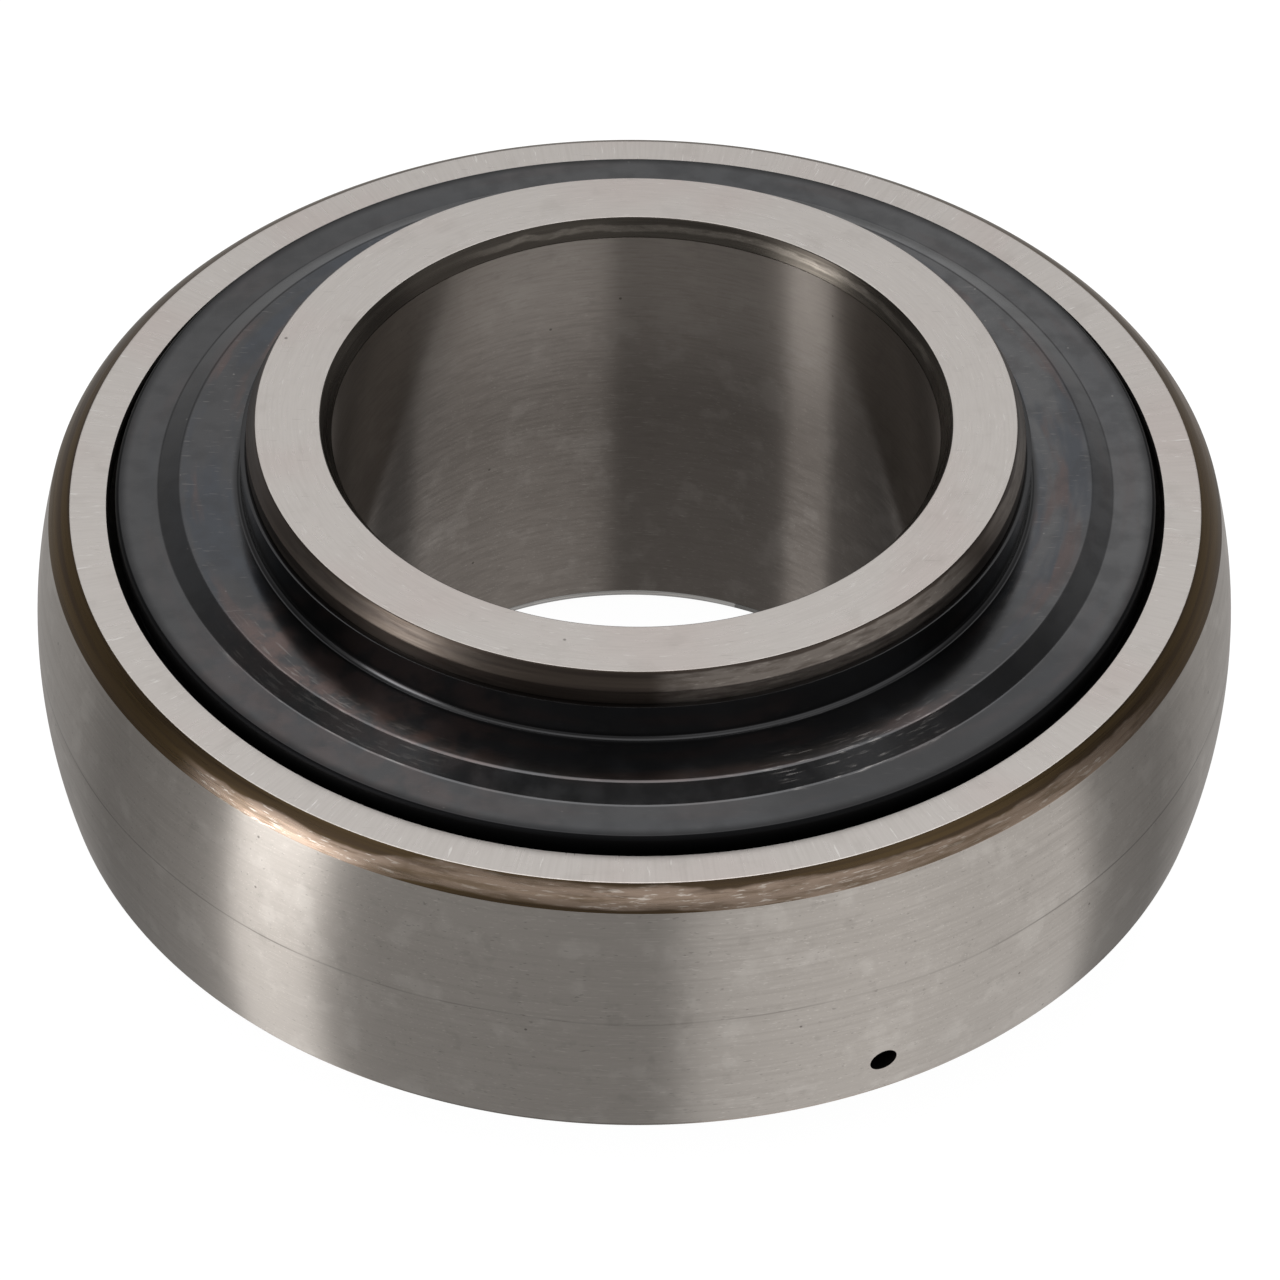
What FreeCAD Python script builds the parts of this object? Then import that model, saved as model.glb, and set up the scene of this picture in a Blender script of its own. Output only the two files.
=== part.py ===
import FreeCAD, Part
import math
import os

# Ball bearing insert with a spherical outside, a wide inner ring and a pressed flinger on each side.
# The origin is the bearing's centre, on the plane of the balls, and +Z runs along the bore.
# All lengths are in millimetres. Sections are drawn in the half plane of radius r and height z.

# Inner ring
BORE_DIAMETER = 60.0
BORE_EDGE_RADIAL = 1.15
BORE_EDGE_AXIAL = 1.7
INNER_WIDTH = 51.5
INNER_SHOULDER = 2.85
INNER_EDGE_RADIAL = 0.9
INNER_EDGE_AXIAL = 1.7

# Outer ring
SPHERE_DIAMETER = 120.0
OUTER_WIDTH = 32.0
OUTER_EDGE_RADIAL = 2.2
OUTER_EDGE_AXIAL = 1.9
OUTER_EDGE_BULGE = 0.22
OUTER_SHOULDER = 3.0
OUTER_FACE_EDGE = 0.2

# Balls and raceways. A race factor is the radius of a raceway's section over the ball's diameter.
# The balls run a little inside the middle of the section, which leaves the outer ring room for the seals.
BALL_DIAMETER = 16.669
BALL_PLAY = 0.05
PITCH_INSET = 1.0
INNER_RACE_FACTOR = 0.52
OUTER_RACE_FACTOR = 0.53

# Relubrication hole, through the lower half of the outer ring
HOLE_DIAMETER = 2.8
HOLE_TO_SEAL_SEAT = 2.15
HOLE_AZIMUTH = 24.3

# Ribbon cage, pressed in two halves and riveted between the balls
CAGE_SHEET = 1.0
CAGE_TO_INNER_LAND = 2.25
CAGE_TO_OUTER_LAND = 2.1
CAGE_BEND_RADIUS = 1.0
POCKET_PLAY = 0.15
RIVET_DIAMETER = 2.4
RIVET_HEAD_DIAMETER = 4.2
RIVET_HEAD_HEIGHT = 0.9
RIVET_ROOM = 1.0

# Seat of the seal in the outer ring: a shoulder, a groove for the bead and a lip that holds it in
SEAL_SEAT_DEPTH = 4.5
SEAL_GROOVE_WIDTH = 1.4
SEAL_GROOVE_DEPTH = 2.6
SEAL_LIP_WIDTH = 0.8
SEAL_LIP_HEIGHT = 0.7
RECESS_STEP = 1.05
RECESS_TAPER = 0.7

# Seal: a pressed steel insert with rubber bonded to it
INSERT_SHEET = 0.7
INSERT_BEND_RADIUS = 0.9
INSERT_UNDER_SKIN = 0.35
INSERT_RIM_COVER = 0.8
INSERT_STEP_HEIGHT = 1.6
INSERT_LEDGE_WIDTH = 2.97
INSERT_STEP_WIDTH = 1.9
INSERT_TO_INNER_LAND = 2.25
RUBBER_SKIN = 0.5
BEAD_WIDTH = 1.8
LIP_PLAY = 0.15
LIP_THICKNESS = 0.7
DUST_LIP_SET = 1.9
DUST_LIP_LEAN = 1.1

# Flinger: a pressed steel disc that grips the inner ring and turns with it
FLINGER_SHEET = 0.6
COLLAR_SETBACK = 3.25
FLINGER_RISE = 2.7
COLLAR_BEND_RADIUS = 0.9
CROWN_BEND_RADIUS = 1.0
STEP_WIDTH = 2.2
STEP_DROP = 1.1
STEP_BEND_RADIUS = 0.7
RIM_FLAT_WIDTH = 4.22
RIM_DROP = 0.2
RIM_BEND_RADIUS = 0.8
RIM_LENGTH = 2.3
RIM_PLAY = 0.75

# Places worked out from the sizes above
ORIGIN = FreeCAD.Vector(0, 0, 0)
AXIS = FreeCAD.Vector(0, 0, 1)
FULL_TURN = 360.0
BORE_RADIUS = BORE_DIAMETER / 2
SPHERE_RADIUS = SPHERE_DIAMETER / 2
INNER_FACE = INNER_WIDTH / 2
OUTER_FACE = OUTER_WIDTH / 2
PITCH_RADIUS = (BORE_RADIUS + SPHERE_RADIUS) / 2 - PITCH_INSET
BALL_RADIUS = BALL_DIAMETER / 2
INNER_RACE_RADIUS = INNER_RACE_FACTOR * BALL_DIAMETER
OUTER_RACE_RADIUS = OUTER_RACE_FACTOR * BALL_DIAMETER
INNER_RACE_BOTTOM = PITCH_RADIUS - BALL_RADIUS - BALL_PLAY
OUTER_RACE_BOTTOM = PITCH_RADIUS + BALL_RADIUS + BALL_PLAY
INNER_LAND = INNER_RACE_BOTTOM + INNER_SHOULDER
OUTER_LAND = OUTER_RACE_BOTTOM - OUTER_SHOULDER
POCKET_RADIUS = BALL_RADIUS + POCKET_PLAY
BEND_HEIGHT = CAGE_SHEET + CAGE_BEND_RADIUS
POCKET_REACH = math.sqrt((POCKET_RADIUS + BEND_HEIGHT) ** 2 - BEND_HEIGHT ** 2)
BALL_SPACING = 2 * (POCKET_REACH + RIVET_ROOM) + RIVET_HEAD_DIAMETER
BALL_COUNT = int(2 * math.pi * PITCH_RADIUS / BALL_SPACING)
SEAL_SEAT_HEIGHT = OUTER_FACE - SEAL_SEAT_DEPTH
GROOVE_RADIUS = OUTER_LAND + SEAL_GROOVE_DEPTH
GROOVE_TOP = SEAL_SEAT_HEIGHT + SEAL_GROOVE_WIDTH
SEAL_LIP_RADIUS = GROOVE_RADIUS - SEAL_LIP_HEIGHT
RECESS_RADIUS = SEAL_LIP_RADIUS + RECESS_STEP
INSERT_INNER_RADIUS = INNER_LAND + INSERT_TO_INNER_LAND
COLLAR_RADIUS = INNER_LAND + FLINGER_SHEET
FLINGER_TOP = OUTER_FACE + FLINGER_RISE
FLINGER_UNDERSIDE = FLINGER_TOP - FLINGER_SHEET


def at(r, z):
    """Returns the point at radius r and height z, in the plane that sections are drawn in."""
    return FreeCAD.Vector(r, 0, z)


class Outline:
    """A closed outline of lines and arcs, drawn point by point."""

    def __init__(self, r, z):
        self.first = at(r, z)
        self.last = self.first
        self.edges = []

    def line(self, r, z):
        """Adds a straight edge to the point at radius r and height z."""
        end = at(r, z)
        self.edges.append(Part.LineSegment(self.last, end).toShape())
        self.last = end

    def arc(self, through, end):
        """Adds an arc through one (r, z) point to another."""
        stop = at(*end)
        self.edges.append(Part.Arc(self.last, at(*through), stop).toShape())
        self.last = stop

    def face(self):
        """Closes the outline and returns it as a face."""
        if (self.last - self.first).Length > 0:
            self.line(self.first.x, self.first.z)
        return Part.Face(Part.Wire(self.edges))


def turned(face, centre=ORIGIN):
    """Turns a section once about the upright line through centre."""
    section = face.translated(centre)
    return section.revolve(centre, AXIS, FULL_TURN)


def polygon(points):
    """Returns the face inside straight edges between (r, z) points."""
    outline = Outline(*points[0])
    for r, z in points[1:]:
        outline.line(r, z)
    return outline.face()


def tube(inner, outer, bottom, top):
    """Returns a plain round tube between two radii and two heights."""
    return turned(polygon([(inner, bottom), (outer, bottom), (outer, top), (inner, top)]))


def fused(shapes):
    """Joins solids into one and clears the seams between them."""
    return shapes[0].multiFuse(shapes[1:]).removeSplitter()


def mirrored(shape):
    """Returns the same piece for the lower side of the bearing."""
    return shape.mirror(ORIGIN, AXIS)


def bulged(start, end, bulge):
    """Returns the middle of an arc from start to end that swells outwards by bulge."""
    dr, dz = end[0] - start[0], end[1] - start[1]
    length = math.hypot(dr, dz)
    side = math.copysign(bulge / length, dr)
    return ((start[0] + end[0]) / 2 - dz * side, (start[1] + end[1]) / 2 + dr * side)


def sheet_section(path, bends, thickness):
    """Returns the section of a pressed sheet.

    The path gives the corners of one surface and the bends give the radius of that surface at each
    corner between the ends. The sheet lies on the right of the path, seen with r to the right and z up.
    """
    near = []
    far = []
    count = len(path)
    ways = []
    for k in range(count - 1):
        dr, dz = path[k + 1][0] - path[k][0], path[k + 1][1] - path[k][1]
        length = math.hypot(dr, dz)
        ways.append((dr / length, dz / length))

    def side(point, way, depth):
        return (point[0] + way[1] * depth, point[1] - way[0] * depth)

    near.append(("line", path[0]))
    far.append(("line", side(path[0], ways[0], thickness)))
    for k in range(1, count - 1):
        before, after, radius = ways[k - 1], ways[k], bends[k - 1]
        turn = before[0] * after[1] - before[1] * after[0]
        angle = math.atan2(turn, before[0] * after[0] + before[1] * after[1])
        reach = radius * math.tan(abs(angle) / 2)
        start = (path[k][0] - before[0] * reach, path[k][1] - before[1] * reach)
        end = (path[k][0] + after[0] * reach, path[k][1] + after[1] * reach)
        hand = math.copysign(1.0, angle)
        centre = side(start, before, -radius * hand)
        middle = (path[k][0] - centre[0], path[k][1] - centre[1])
        size = math.hypot(*middle)
        outward = (middle[0] / size, middle[1] / size)
        for edge, depth in ((near, 0.0), (far, thickness)):
            here = radius + depth * hand
            edge.append(("line", side(start, before, depth)))
            through = (centre[0] + outward[0] * here, centre[1] + outward[1] * here)
            edge.append(("arc", through, side(end, after, depth)))
    near.append(("line", path[-1]))
    far.append(("line", side(path[-1], ways[-1], thickness)))

    outline = Outline(*near[0][1])
    for step in near[1:]:
        if step[0] == "line":
            outline.line(*step[1])
        else:
            outline.arc(step[1], step[2])
    outline.line(*far[-1][1])
    for k in range(len(far) - 1, 0, -1):
        goal = far[k - 1][-1]
        if far[k][0] == "line":
            outline.line(*goal)
        else:
            outline.arc(far[k][1], goal)
    return outline.face()


def race_edge(race_radius, shoulder):
    """Returns how far from the ball plane a raceway of round section meets its land."""
    return math.sqrt(race_radius ** 2 - (race_radius - shoulder) ** 2)


def inner_ring():
    """The wide ring that grips the shaft, with its raceway and its broken edges."""
    half_race = race_edge(INNER_RACE_RADIUS, INNER_SHOULDER)
    bore_edge = INNER_FACE - BORE_EDGE_AXIAL
    land_edge = INNER_FACE - INNER_EDGE_AXIAL
    outline = Outline(BORE_RADIUS, -bore_edge)
    outline.line(BORE_RADIUS + BORE_EDGE_RADIAL, -INNER_FACE)
    outline.line(INNER_LAND - INNER_EDGE_RADIAL, -INNER_FACE)
    outline.line(INNER_LAND, -land_edge)
    outline.line(INNER_LAND, -half_race)
    outline.arc((INNER_RACE_BOTTOM, 0), (INNER_LAND, half_race))
    outline.line(INNER_LAND, land_edge)
    outline.line(INNER_LAND - INNER_EDGE_RADIAL, INNER_FACE)
    outline.line(BORE_RADIUS + BORE_EDGE_RADIAL, INNER_FACE)
    outline.line(BORE_RADIUS, bore_edge)
    return turned(outline.face())


def outer_ring():
    """The ring with the spherical outside, the raceway, both seal seats and the relubrication hole."""
    half_race = race_edge(OUTER_RACE_RADIUS, OUTER_SHOULDER)
    sphere_edge = OUTER_FACE - OUTER_EDGE_AXIAL
    sphere_edge_radius = math.sqrt(SPHERE_RADIUS ** 2 - sphere_edge ** 2)
    face_edge_radius = sphere_edge_radius - OUTER_EDGE_RADIAL
    upper = ((face_edge_radius, OUTER_FACE), (sphere_edge_radius, sphere_edge))
    swell = bulged(*upper, OUTER_EDGE_BULGE)
    recess_floor = GROOVE_TOP + SEAL_LIP_WIDTH
    seat = [
        (OUTER_LAND, SEAL_SEAT_HEIGHT),
        (GROOVE_RADIUS, SEAL_SEAT_HEIGHT),
        (GROOVE_RADIUS, GROOVE_TOP),
        (SEAL_LIP_RADIUS, GROOVE_TOP),
        (SEAL_LIP_RADIUS, recess_floor),
        (RECESS_RADIUS, recess_floor + RECESS_TAPER),
        (RECESS_RADIUS, OUTER_FACE - OUTER_FACE_EDGE),
        (RECESS_RADIUS + OUTER_FACE_EDGE, OUTER_FACE),
    ]

    outline = Outline(*upper[0])
    outline.arc(swell, upper[1])
    outline.arc((SPHERE_RADIUS, 0), (sphere_edge_radius, -sphere_edge))
    outline.arc((swell[0], -swell[1]), (face_edge_radius, -OUTER_FACE))
    for r, z in reversed(seat):
        outline.line(r, -z)
    outline.line(OUTER_LAND, -half_race)
    outline.arc((OUTER_RACE_BOTTOM, 0), (OUTER_LAND, half_race))
    for r, z in seat:
        outline.line(r, z)
    ring = turned(outline.face())

    azimuth = math.radians(HOLE_AZIMUTH)
    outward = FreeCAD.Vector(math.sin(azimuth), -math.cos(azimuth), 0)
    start = outward * PITCH_RADIUS - AXIS * (SEAL_SEAT_HEIGHT - HOLE_TO_SEAL_SEAT)
    drill = Part.makeCylinder(HOLE_DIAMETER / 2, SPHERE_RADIUS, start, outward)
    return ring.cut(drill)


def ball_centre(index):
    """Returns the middle of a ball. A half index gives the place halfway between two balls."""
    angle = math.radians(index * FULL_TURN / BALL_COUNT)
    return FreeCAD.Vector(math.cos(angle), math.sin(angle), 0) * PITCH_RADIUS


def ball(index):
    """One rolling ball."""
    return Part.makeSphere(BALL_RADIUS, ball_centre(index))


def cage_half():
    """The upper half of the cage: a flat ribbon that domes over each ball, with bent roots."""
    over = POCKET_RADIUS + CAGE_SHEET
    lean = math.atan2(BEND_HEIGHT, POCKET_REACH)

    def on_sphere(radius, angle):
        return (radius * math.cos(angle), radius * math.sin(angle))

    def on_bend(radius, angle):
        return (POCKET_REACH - radius * math.cos(angle), BEND_HEIGHT - radius * math.sin(angle))

    half_lean = (lean + math.pi / 2) / 2
    dome = Outline(0, POCKET_RADIUS)
    dome.arc(on_sphere(POCKET_RADIUS, half_lean), on_sphere(POCKET_RADIUS, lean))
    dome.arc(on_bend(BEND_HEIGHT, half_lean), (POCKET_REACH, 0))
    dome.line(POCKET_REACH, CAGE_SHEET)
    dome.arc(on_bend(CAGE_BEND_RADIUS, half_lean), on_sphere(over, lean))
    dome.arc(on_sphere(over, half_lean), (0, over))
    dome_face = dome.face()

    inner = INNER_LAND + CAGE_TO_INNER_LAND
    outer = OUTER_LAND - CAGE_TO_OUTER_LAND
    band = tube(inner, outer, 0, over)
    ribbon = tube(inner, outer, 0, CAGE_SHEET)
    for index in range(BALL_COUNT):
        ribbon = ribbon.cut(Part.makeCylinder(POCKET_REACH, CAGE_SHEET, ball_centre(index)))
    domes = [turned(dome_face, ball_centre(index)).common(band) for index in range(BALL_COUNT)]
    half = fused([ribbon] + domes)
    for index in range(BALL_COUNT):
        middle = ball_centre(index + 0.5)
        half = half.cut(Part.makeCylinder(RIVET_DIAMETER / 2, CAGE_SHEET, middle))
    return half


def rivets():
    """The rivets that hold the two cage halves together, each with a domed head at both ends."""
    shank = RIVET_DIAMETER / 2
    head = RIVET_HEAD_DIAMETER / 2
    dome_radius = (head ** 2 + RIVET_HEAD_HEIGHT ** 2) / (2 * RIVET_HEAD_HEIGHT)
    tip = CAGE_SHEET + RIVET_HEAD_HEIGHT
    half_way = math.asin(head / dome_radius) / 2
    shoulder = (dome_radius * math.sin(half_way), tip - dome_radius * (1 - math.cos(half_way)))
    outline = Outline(0, -tip)
    outline.arc((shoulder[0], -shoulder[1]), (head, -CAGE_SHEET))
    outline.line(shank, -CAGE_SHEET)
    outline.line(shank, CAGE_SHEET)
    outline.line(head, CAGE_SHEET)
    outline.arc(shoulder, (0, tip))
    section = outline.face()
    return Part.makeCompound([turned(section, ball_centre(index + 0.5)) for index in range(BALL_COUNT)])


def insert_path():
    """Returns the corners of the seal insert's outward surface, from its inner edge to its rim."""
    rim = GROOVE_RADIUS - INSERT_RIM_COVER
    step_head = INSERT_INNER_RADIUS + INSERT_LEDGE_WIDTH
    step_foot = step_head + INSERT_STEP_WIDTH
    low = SEAL_SEAT_HEIGHT + INSERT_UNDER_SKIN + INSERT_SHEET
    high = low + INSERT_STEP_HEIGHT
    return [(INSERT_INNER_RADIUS, high), (step_head, high), (step_foot, low), (rim, low)]


def seal_insert():
    """The stepped steel washer that stiffens the upper seal."""
    bends = [INSERT_BEND_RADIUS + INSERT_SHEET, INSERT_BEND_RADIUS]
    return turned(sheet_section(insert_path(), bends, INSERT_SHEET))


def seal_rubber(insert):
    """The rubber of the upper seal: bead, skin over the insert, main lips and a dust lip.

    The skin is drawn down to the middle of the insert's sheet, and the insert is cut out of it at the end.
    """
    path = insert_path()
    high = path[0][1]
    rim, low = path[-1]
    raised = [(r, z + RUBBER_SKIN) for r, z in path]
    bends = [INSERT_BEND_RADIUS + INSERT_SHEET + RUBBER_SKIN, INSERT_BEND_RADIUS - RUBBER_SKIN]
    skin = turned(sheet_section(raised, bends, RUBBER_SKIN + INSERT_SHEET / 2))
    bead = turned(polygon([
        (GROOVE_RADIUS - BEAD_WIDTH, SEAL_SEAT_HEIGHT),
        (GROOVE_RADIUS, SEAL_SEAT_HEIGHT),
        (GROOVE_RADIUS, GROOVE_TOP),
        (SEAL_LIP_RADIUS, GROOVE_TOP),
        (rim, low + RUBBER_SKIN),
        (GROOVE_RADIUS - BEAD_WIDTH, low + RUBBER_SKIN),
    ]))
    touch = INNER_LAND + LIP_PLAY
    lip_root = INSERT_INNER_RADIUS - LIP_THICKNESS
    under = high - INSERT_SHEET - RUBBER_SKIN
    top = high + RUBBER_SKIN
    lips = turned(polygon([
        (INSERT_INNER_RADIUS + LIP_THICKNESS, under),
        (INSERT_INNER_RADIUS + LIP_THICKNESS, top),
        (lip_root, top),
        (touch, top + LIP_THICKNESS),
        (touch, top),
        ((touch + lip_root) / 2, (under + top) / 2),
        (touch, under),
        (touch, under - LIP_THICKNESS),
        (lip_root, under),
    ]))
    tip = FLINGER_UNDERSIDE - LIP_PLAY
    dust_root = INSERT_INNER_RADIUS + DUST_LIP_SET
    dust_tip = dust_root + DUST_LIP_LEAN
    dust_lip = turned(polygon([
        (dust_root, high),
        (dust_root + LIP_THICKNESS, high),
        (dust_tip + LIP_THICKNESS, tip),
        (dust_tip + LIP_THICKNESS / 2, tip),
    ]))
    return fused([skin, bead, lips, dust_lip]).cut(insert)


def flinger():
    """The upper flinger: a collar on the inner ring, a raised disc, a step, a flat ring and a rim."""
    rim = RECESS_RADIUS - RIM_PLAY
    step = rim - RIM_FLAT_WIDTH
    step_height = FLINGER_TOP - STEP_DROP
    rim_height = step_height - RIM_DROP
    path = [
        (COLLAR_RADIUS, INNER_FACE - COLLAR_SETBACK),
        (COLLAR_RADIUS, FLINGER_TOP),
        (step - STEP_WIDTH, FLINGER_TOP),
        (step, step_height),
        (rim, rim_height),
        (rim, rim_height - RIM_LENGTH),
    ]
    bends = [COLLAR_BEND_RADIUS, CROWN_BEND_RADIUS, STEP_BEND_RADIUS, RIM_BEND_RADIUS]
    return turned(sheet_section(path, bends, FLINGER_SHEET))


upper_insert = seal_insert()
upper_rubber = seal_rubber(upper_insert)
upper_flinger = flinger()
upper_cage = cage_half()
nodes = {
    "outer_ring": outer_ring(),
    "inner_ring": inner_ring(),
    "flinger_upper": upper_flinger,
    "flinger_lower": mirrored(upper_flinger),
    "seal_insert_upper": upper_insert,
    "seal_insert_lower": mirrored(upper_insert),
    "seal_rubber_upper": upper_rubber,
    "seal_rubber_lower": mirrored(upper_rubber),
    "cage_half_upper": upper_cage,
    "cage_half_lower": mirrored(upper_cage),
    "cage_rivets": rivets(),
}
for number in range(BALL_COUNT):
    nodes[f"ball_{number + 1:02d}"] = ball(number)

os.makedirs("parts", exist_ok=True)
for name, shape in nodes.items():
    shape.exportStep(f"parts/{name}.step")
    print(name, "valid" if shape.isValid() else "NOT VALID", len(shape.Solids), round(shape.Volume, 1))
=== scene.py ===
"""Scene of a sealed ball bearing insert with a spherical outside.

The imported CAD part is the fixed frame. Both rings and both flingers are turned again here as fine meshes
with rounded edges, and the other nodes keep their CAD meshes and get finishes of their own.
Sizes are in millimetres, and meshes are in metres.
"""

import logging
import math
from dataclasses import dataclass
from enum import Enum
from typing import Callable

import bpy
from bpy.types import Material, Node, NodeSocket, NodeTree, Object
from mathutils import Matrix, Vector


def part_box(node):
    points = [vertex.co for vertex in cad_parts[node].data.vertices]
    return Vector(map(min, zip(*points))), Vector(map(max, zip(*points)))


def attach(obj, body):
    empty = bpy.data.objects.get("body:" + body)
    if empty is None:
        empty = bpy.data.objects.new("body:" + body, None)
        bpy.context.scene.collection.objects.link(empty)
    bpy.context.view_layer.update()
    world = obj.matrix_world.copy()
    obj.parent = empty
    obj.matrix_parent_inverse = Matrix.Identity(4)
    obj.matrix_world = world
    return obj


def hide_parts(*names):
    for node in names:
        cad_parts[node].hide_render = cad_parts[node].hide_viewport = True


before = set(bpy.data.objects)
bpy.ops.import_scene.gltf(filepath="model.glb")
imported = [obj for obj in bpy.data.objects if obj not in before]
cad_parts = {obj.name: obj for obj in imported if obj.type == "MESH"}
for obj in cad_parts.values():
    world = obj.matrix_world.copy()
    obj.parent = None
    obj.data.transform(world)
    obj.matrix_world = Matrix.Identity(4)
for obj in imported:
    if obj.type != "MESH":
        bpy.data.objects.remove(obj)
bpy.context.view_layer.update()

LOG = logging.getLogger("bearing")
MM = 0.001
WHITE = (1.0, 1.0, 1.0, 1.0)

# Steps of a full turn, and about how long a step along a bowed line is, in millimetres.
SPIN_STEPS = 360
ARC_STEP = 0.6
LEAST_ARC_STEPS = 4
# How near to each other two points count as one, in millimetres.
MERGE_REACH = 0.0005
# The sharpest fold that is shaded smooth, in degrees, and how much the larger faces' normals count.
SMOOTH_ANGLE = 34.0
NORMAL_WEIGHT = 90


class Lay(Enum):
    """Which way the marks of grinding or turning run on a turned surface."""

    AROUND = "around"
    ACROSS = "across"


def linear(colour: str) -> tuple[float, float, float, float]:
    """Turns an sRGB hex colour into the linear one that shaders take.

    Args:
        colour: The colour as #RRGGBB.

    Returns:
        Red, green, blue and an alpha of one.
    """
    channels = []
    for place in (1, 3, 5):
        value = int(colour[place:place + 2], 16) / 255
        channels.append(value / 12.92 if value <= 0.04045 else ((value + 0.055) / 1.055) ** 2.4)
    return (*channels, 1.0)


def node_size(node: str) -> tuple[float, float]:
    """Reads the radius and the height of a CAD node from the frame.

    Args:
        node: The node's name.

    Returns:
        The largest radius and the whole height, in millimetres.
    """
    low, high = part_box(node)
    return high.x / MM, (high.z - low.z) / MM


def select_only(piece: Object | None = None) -> None:
    """Deselects everything, and then selects one piece and makes it active.

    Args:
        piece: The piece to select, or None for nothing.
    """
    bpy.ops.object.select_all(action="DESELECT")
    if piece is not None:
        piece.select_set(True)
        bpy.context.view_layer.objects.active = piece


def edit_all(piece: Object) -> None:
    """Opens a piece in edit mode with all of it selected.

    Args:
        piece: The piece.
    """
    select_only(piece)
    bpy.ops.object.mode_set(mode="EDIT")
    bpy.ops.mesh.select_all(action="SELECT")


def start_drawing(name: str, place: Vector) -> Object:
    """Starts a mesh with one point and opens it in edit mode with the point selected.

    Args:
        name: The new piece's name.
        place: Where the point lies, in metres.

    Returns:
        The new piece.
    """
    select_only()
    bpy.ops.mesh.primitive_plane_add(size=MM, location=place)
    piece = bpy.context.object
    piece.name = name
    piece.data.name = name
    bpy.ops.object.transform_apply(location=True, rotation=True, scale=True)
    edit_all(piece)
    bpy.ops.mesh.select_mode(type="VERT")
    bpy.ops.mesh.merge(type="CENTER")
    return piece


@dataclass(frozen=True)
class Corner:
    """A corner of a half section.

    Attributes:
        radius: Distance from the bearing's axis.
        height: Height above the plane of the balls.
        setback: How far before and after the corner its rounding starts.
        swell: How far the way to this corner bows out to the left of a straight line, seen with the radius
            to the right and the height up. Below zero it bows to the right.
    """

    radius: float
    height: float
    setback: float = 0.0
    swell: float = 0.0

    def place(self) -> Vector:
        """Returns the corner's place in the section's plane, in metres."""
        return Vector((self.radius * MM, 0, self.height * MM))


def mirrored(corners: list[Corner]) -> list[Corner]:
    """Mirrors corners in the plane of the balls, in the other order and without their swells."""
    return [Corner(corner.radius, -corner.height, corner.setback) for corner in reversed(corners)]


class Lathe:
    """Draws a half section corner by corner and spins it round the bearing's axis."""

    def __init__(self, name: str, corners: list[Corner], closed: bool = True, segments: int = 3) -> None:
        """Draws the section in a new mesh object.

        Args:
            name: The piece's name.
            corners: The corners in order.
            closed: Whether the last corner is joined to the first.
            segments: How many edges each rounding gets.
        """
        self.last = corners[0]
        self.piece = start_drawing(name, self.last.place())
        for corner in corners[1:]:
            self.draw_to(corner)
        if closed:
            self.draw_to(corners[0])
        bpy.ops.mesh.select_all(action="SELECT")
        bpy.ops.mesh.remove_doubles(threshold=MERGE_REACH * MM)
        for setback in sorted({corner.setback for corner in corners} - {0.0}):
            places = [corner.place() for corner in corners if corner.setback == setback]
            self.round_off(places, setback, segments)

    def draw_to(self, corner: Corner) -> None:
        """Extrudes the last point in a straight line, or spins it along an arc, to a corner.

        Args:
            corner: Where the line or the arc ends.
        """
        along = corner.radius - self.last.radius
        up = corner.height - self.last.height
        if corner.swell == 0:
            move = {"value": (along * MM, 0, up * MM)}
            bpy.ops.mesh.extrude_vertices_move(TRANSFORM_OT_translate=move)
        else:
            chord = math.hypot(along, up)
            swell = abs(corner.swell)
            radius = (chord ** 2 / 4 + swell ** 2) / (2 * swell)
            inward = math.copysign(radius - swell, corner.swell)
            centre_r = (corner.radius + self.last.radius) / 2 + up / chord * inward
            centre_z = (corner.height + self.last.height) / 2 - along / chord * inward
            angle = 2 * math.asin(chord / (2 * radius))
            steps = max(LEAST_ARC_STEPS, round(radius * angle / ARC_STEP))
            bpy.ops.mesh.spin(
                steps=steps, angle=math.copysign(angle, corner.swell), axis=(0, -1, 0),
                center=(centre_r * MM, 0, centre_z * MM),
            )
        self.last = corner

    def round_off(self, places: list[Vector], setback: float, segments: int) -> None:
        """Bevels the section's points at some places.

        Args:
            places: Where the points lie, in metres.
            setback: Where the rounding starts, before and after a point, in millimetres.
            segments: How many edges each rounding gets.
        """
        bpy.ops.mesh.select_all(action="DESELECT")
        bpy.ops.object.mode_set(mode="OBJECT")
        for vertex in self.piece.data.vertices:
            vertex.select = any((vertex.co - place).length < MERGE_REACH * MM for place in places)
        bpy.ops.object.mode_set(mode="EDIT")
        bpy.ops.mesh.bevel(
            offset_type="OFFSET", offset=setback * MM, segments=segments, affect="VERTICES",
            clamp_overlap=False,
        )

    def spin(self) -> Object:
        """Spins the section once round and closes the seam.

        Returns:
            The piece, in object mode, with its faces pointing outwards.
        """
        bpy.ops.mesh.select_all(action="SELECT")
        bpy.ops.mesh.spin(
            steps=SPIN_STEPS, angle=math.tau, use_auto_merge=True, center=(0, 0, 0), axis=(0, 0, 1),
        )
        bpy.ops.mesh.select_all(action="SELECT")
        bpy.ops.mesh.remove_doubles(threshold=MERGE_REACH * MM)
        bpy.ops.mesh.normals_make_consistent(inside=False)
        bpy.ops.object.mode_set(mode="OBJECT")
        return self.piece


def apply_modifier(piece: Object, kind: str, settings: dict[str, object]) -> None:
    """Adds a modifier to a piece and applies it.

    Args:
        piece: The piece to change.
        kind: The modifier's type.
        settings: The modifier's settings by name.
    """
    select_only(piece)
    modifier = piece.modifiers.new(kind.title(), kind)
    for key, value in settings.items():
        setattr(modifier, key, value)
    bpy.ops.object.modifier_apply(modifier=modifier.name)


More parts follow.
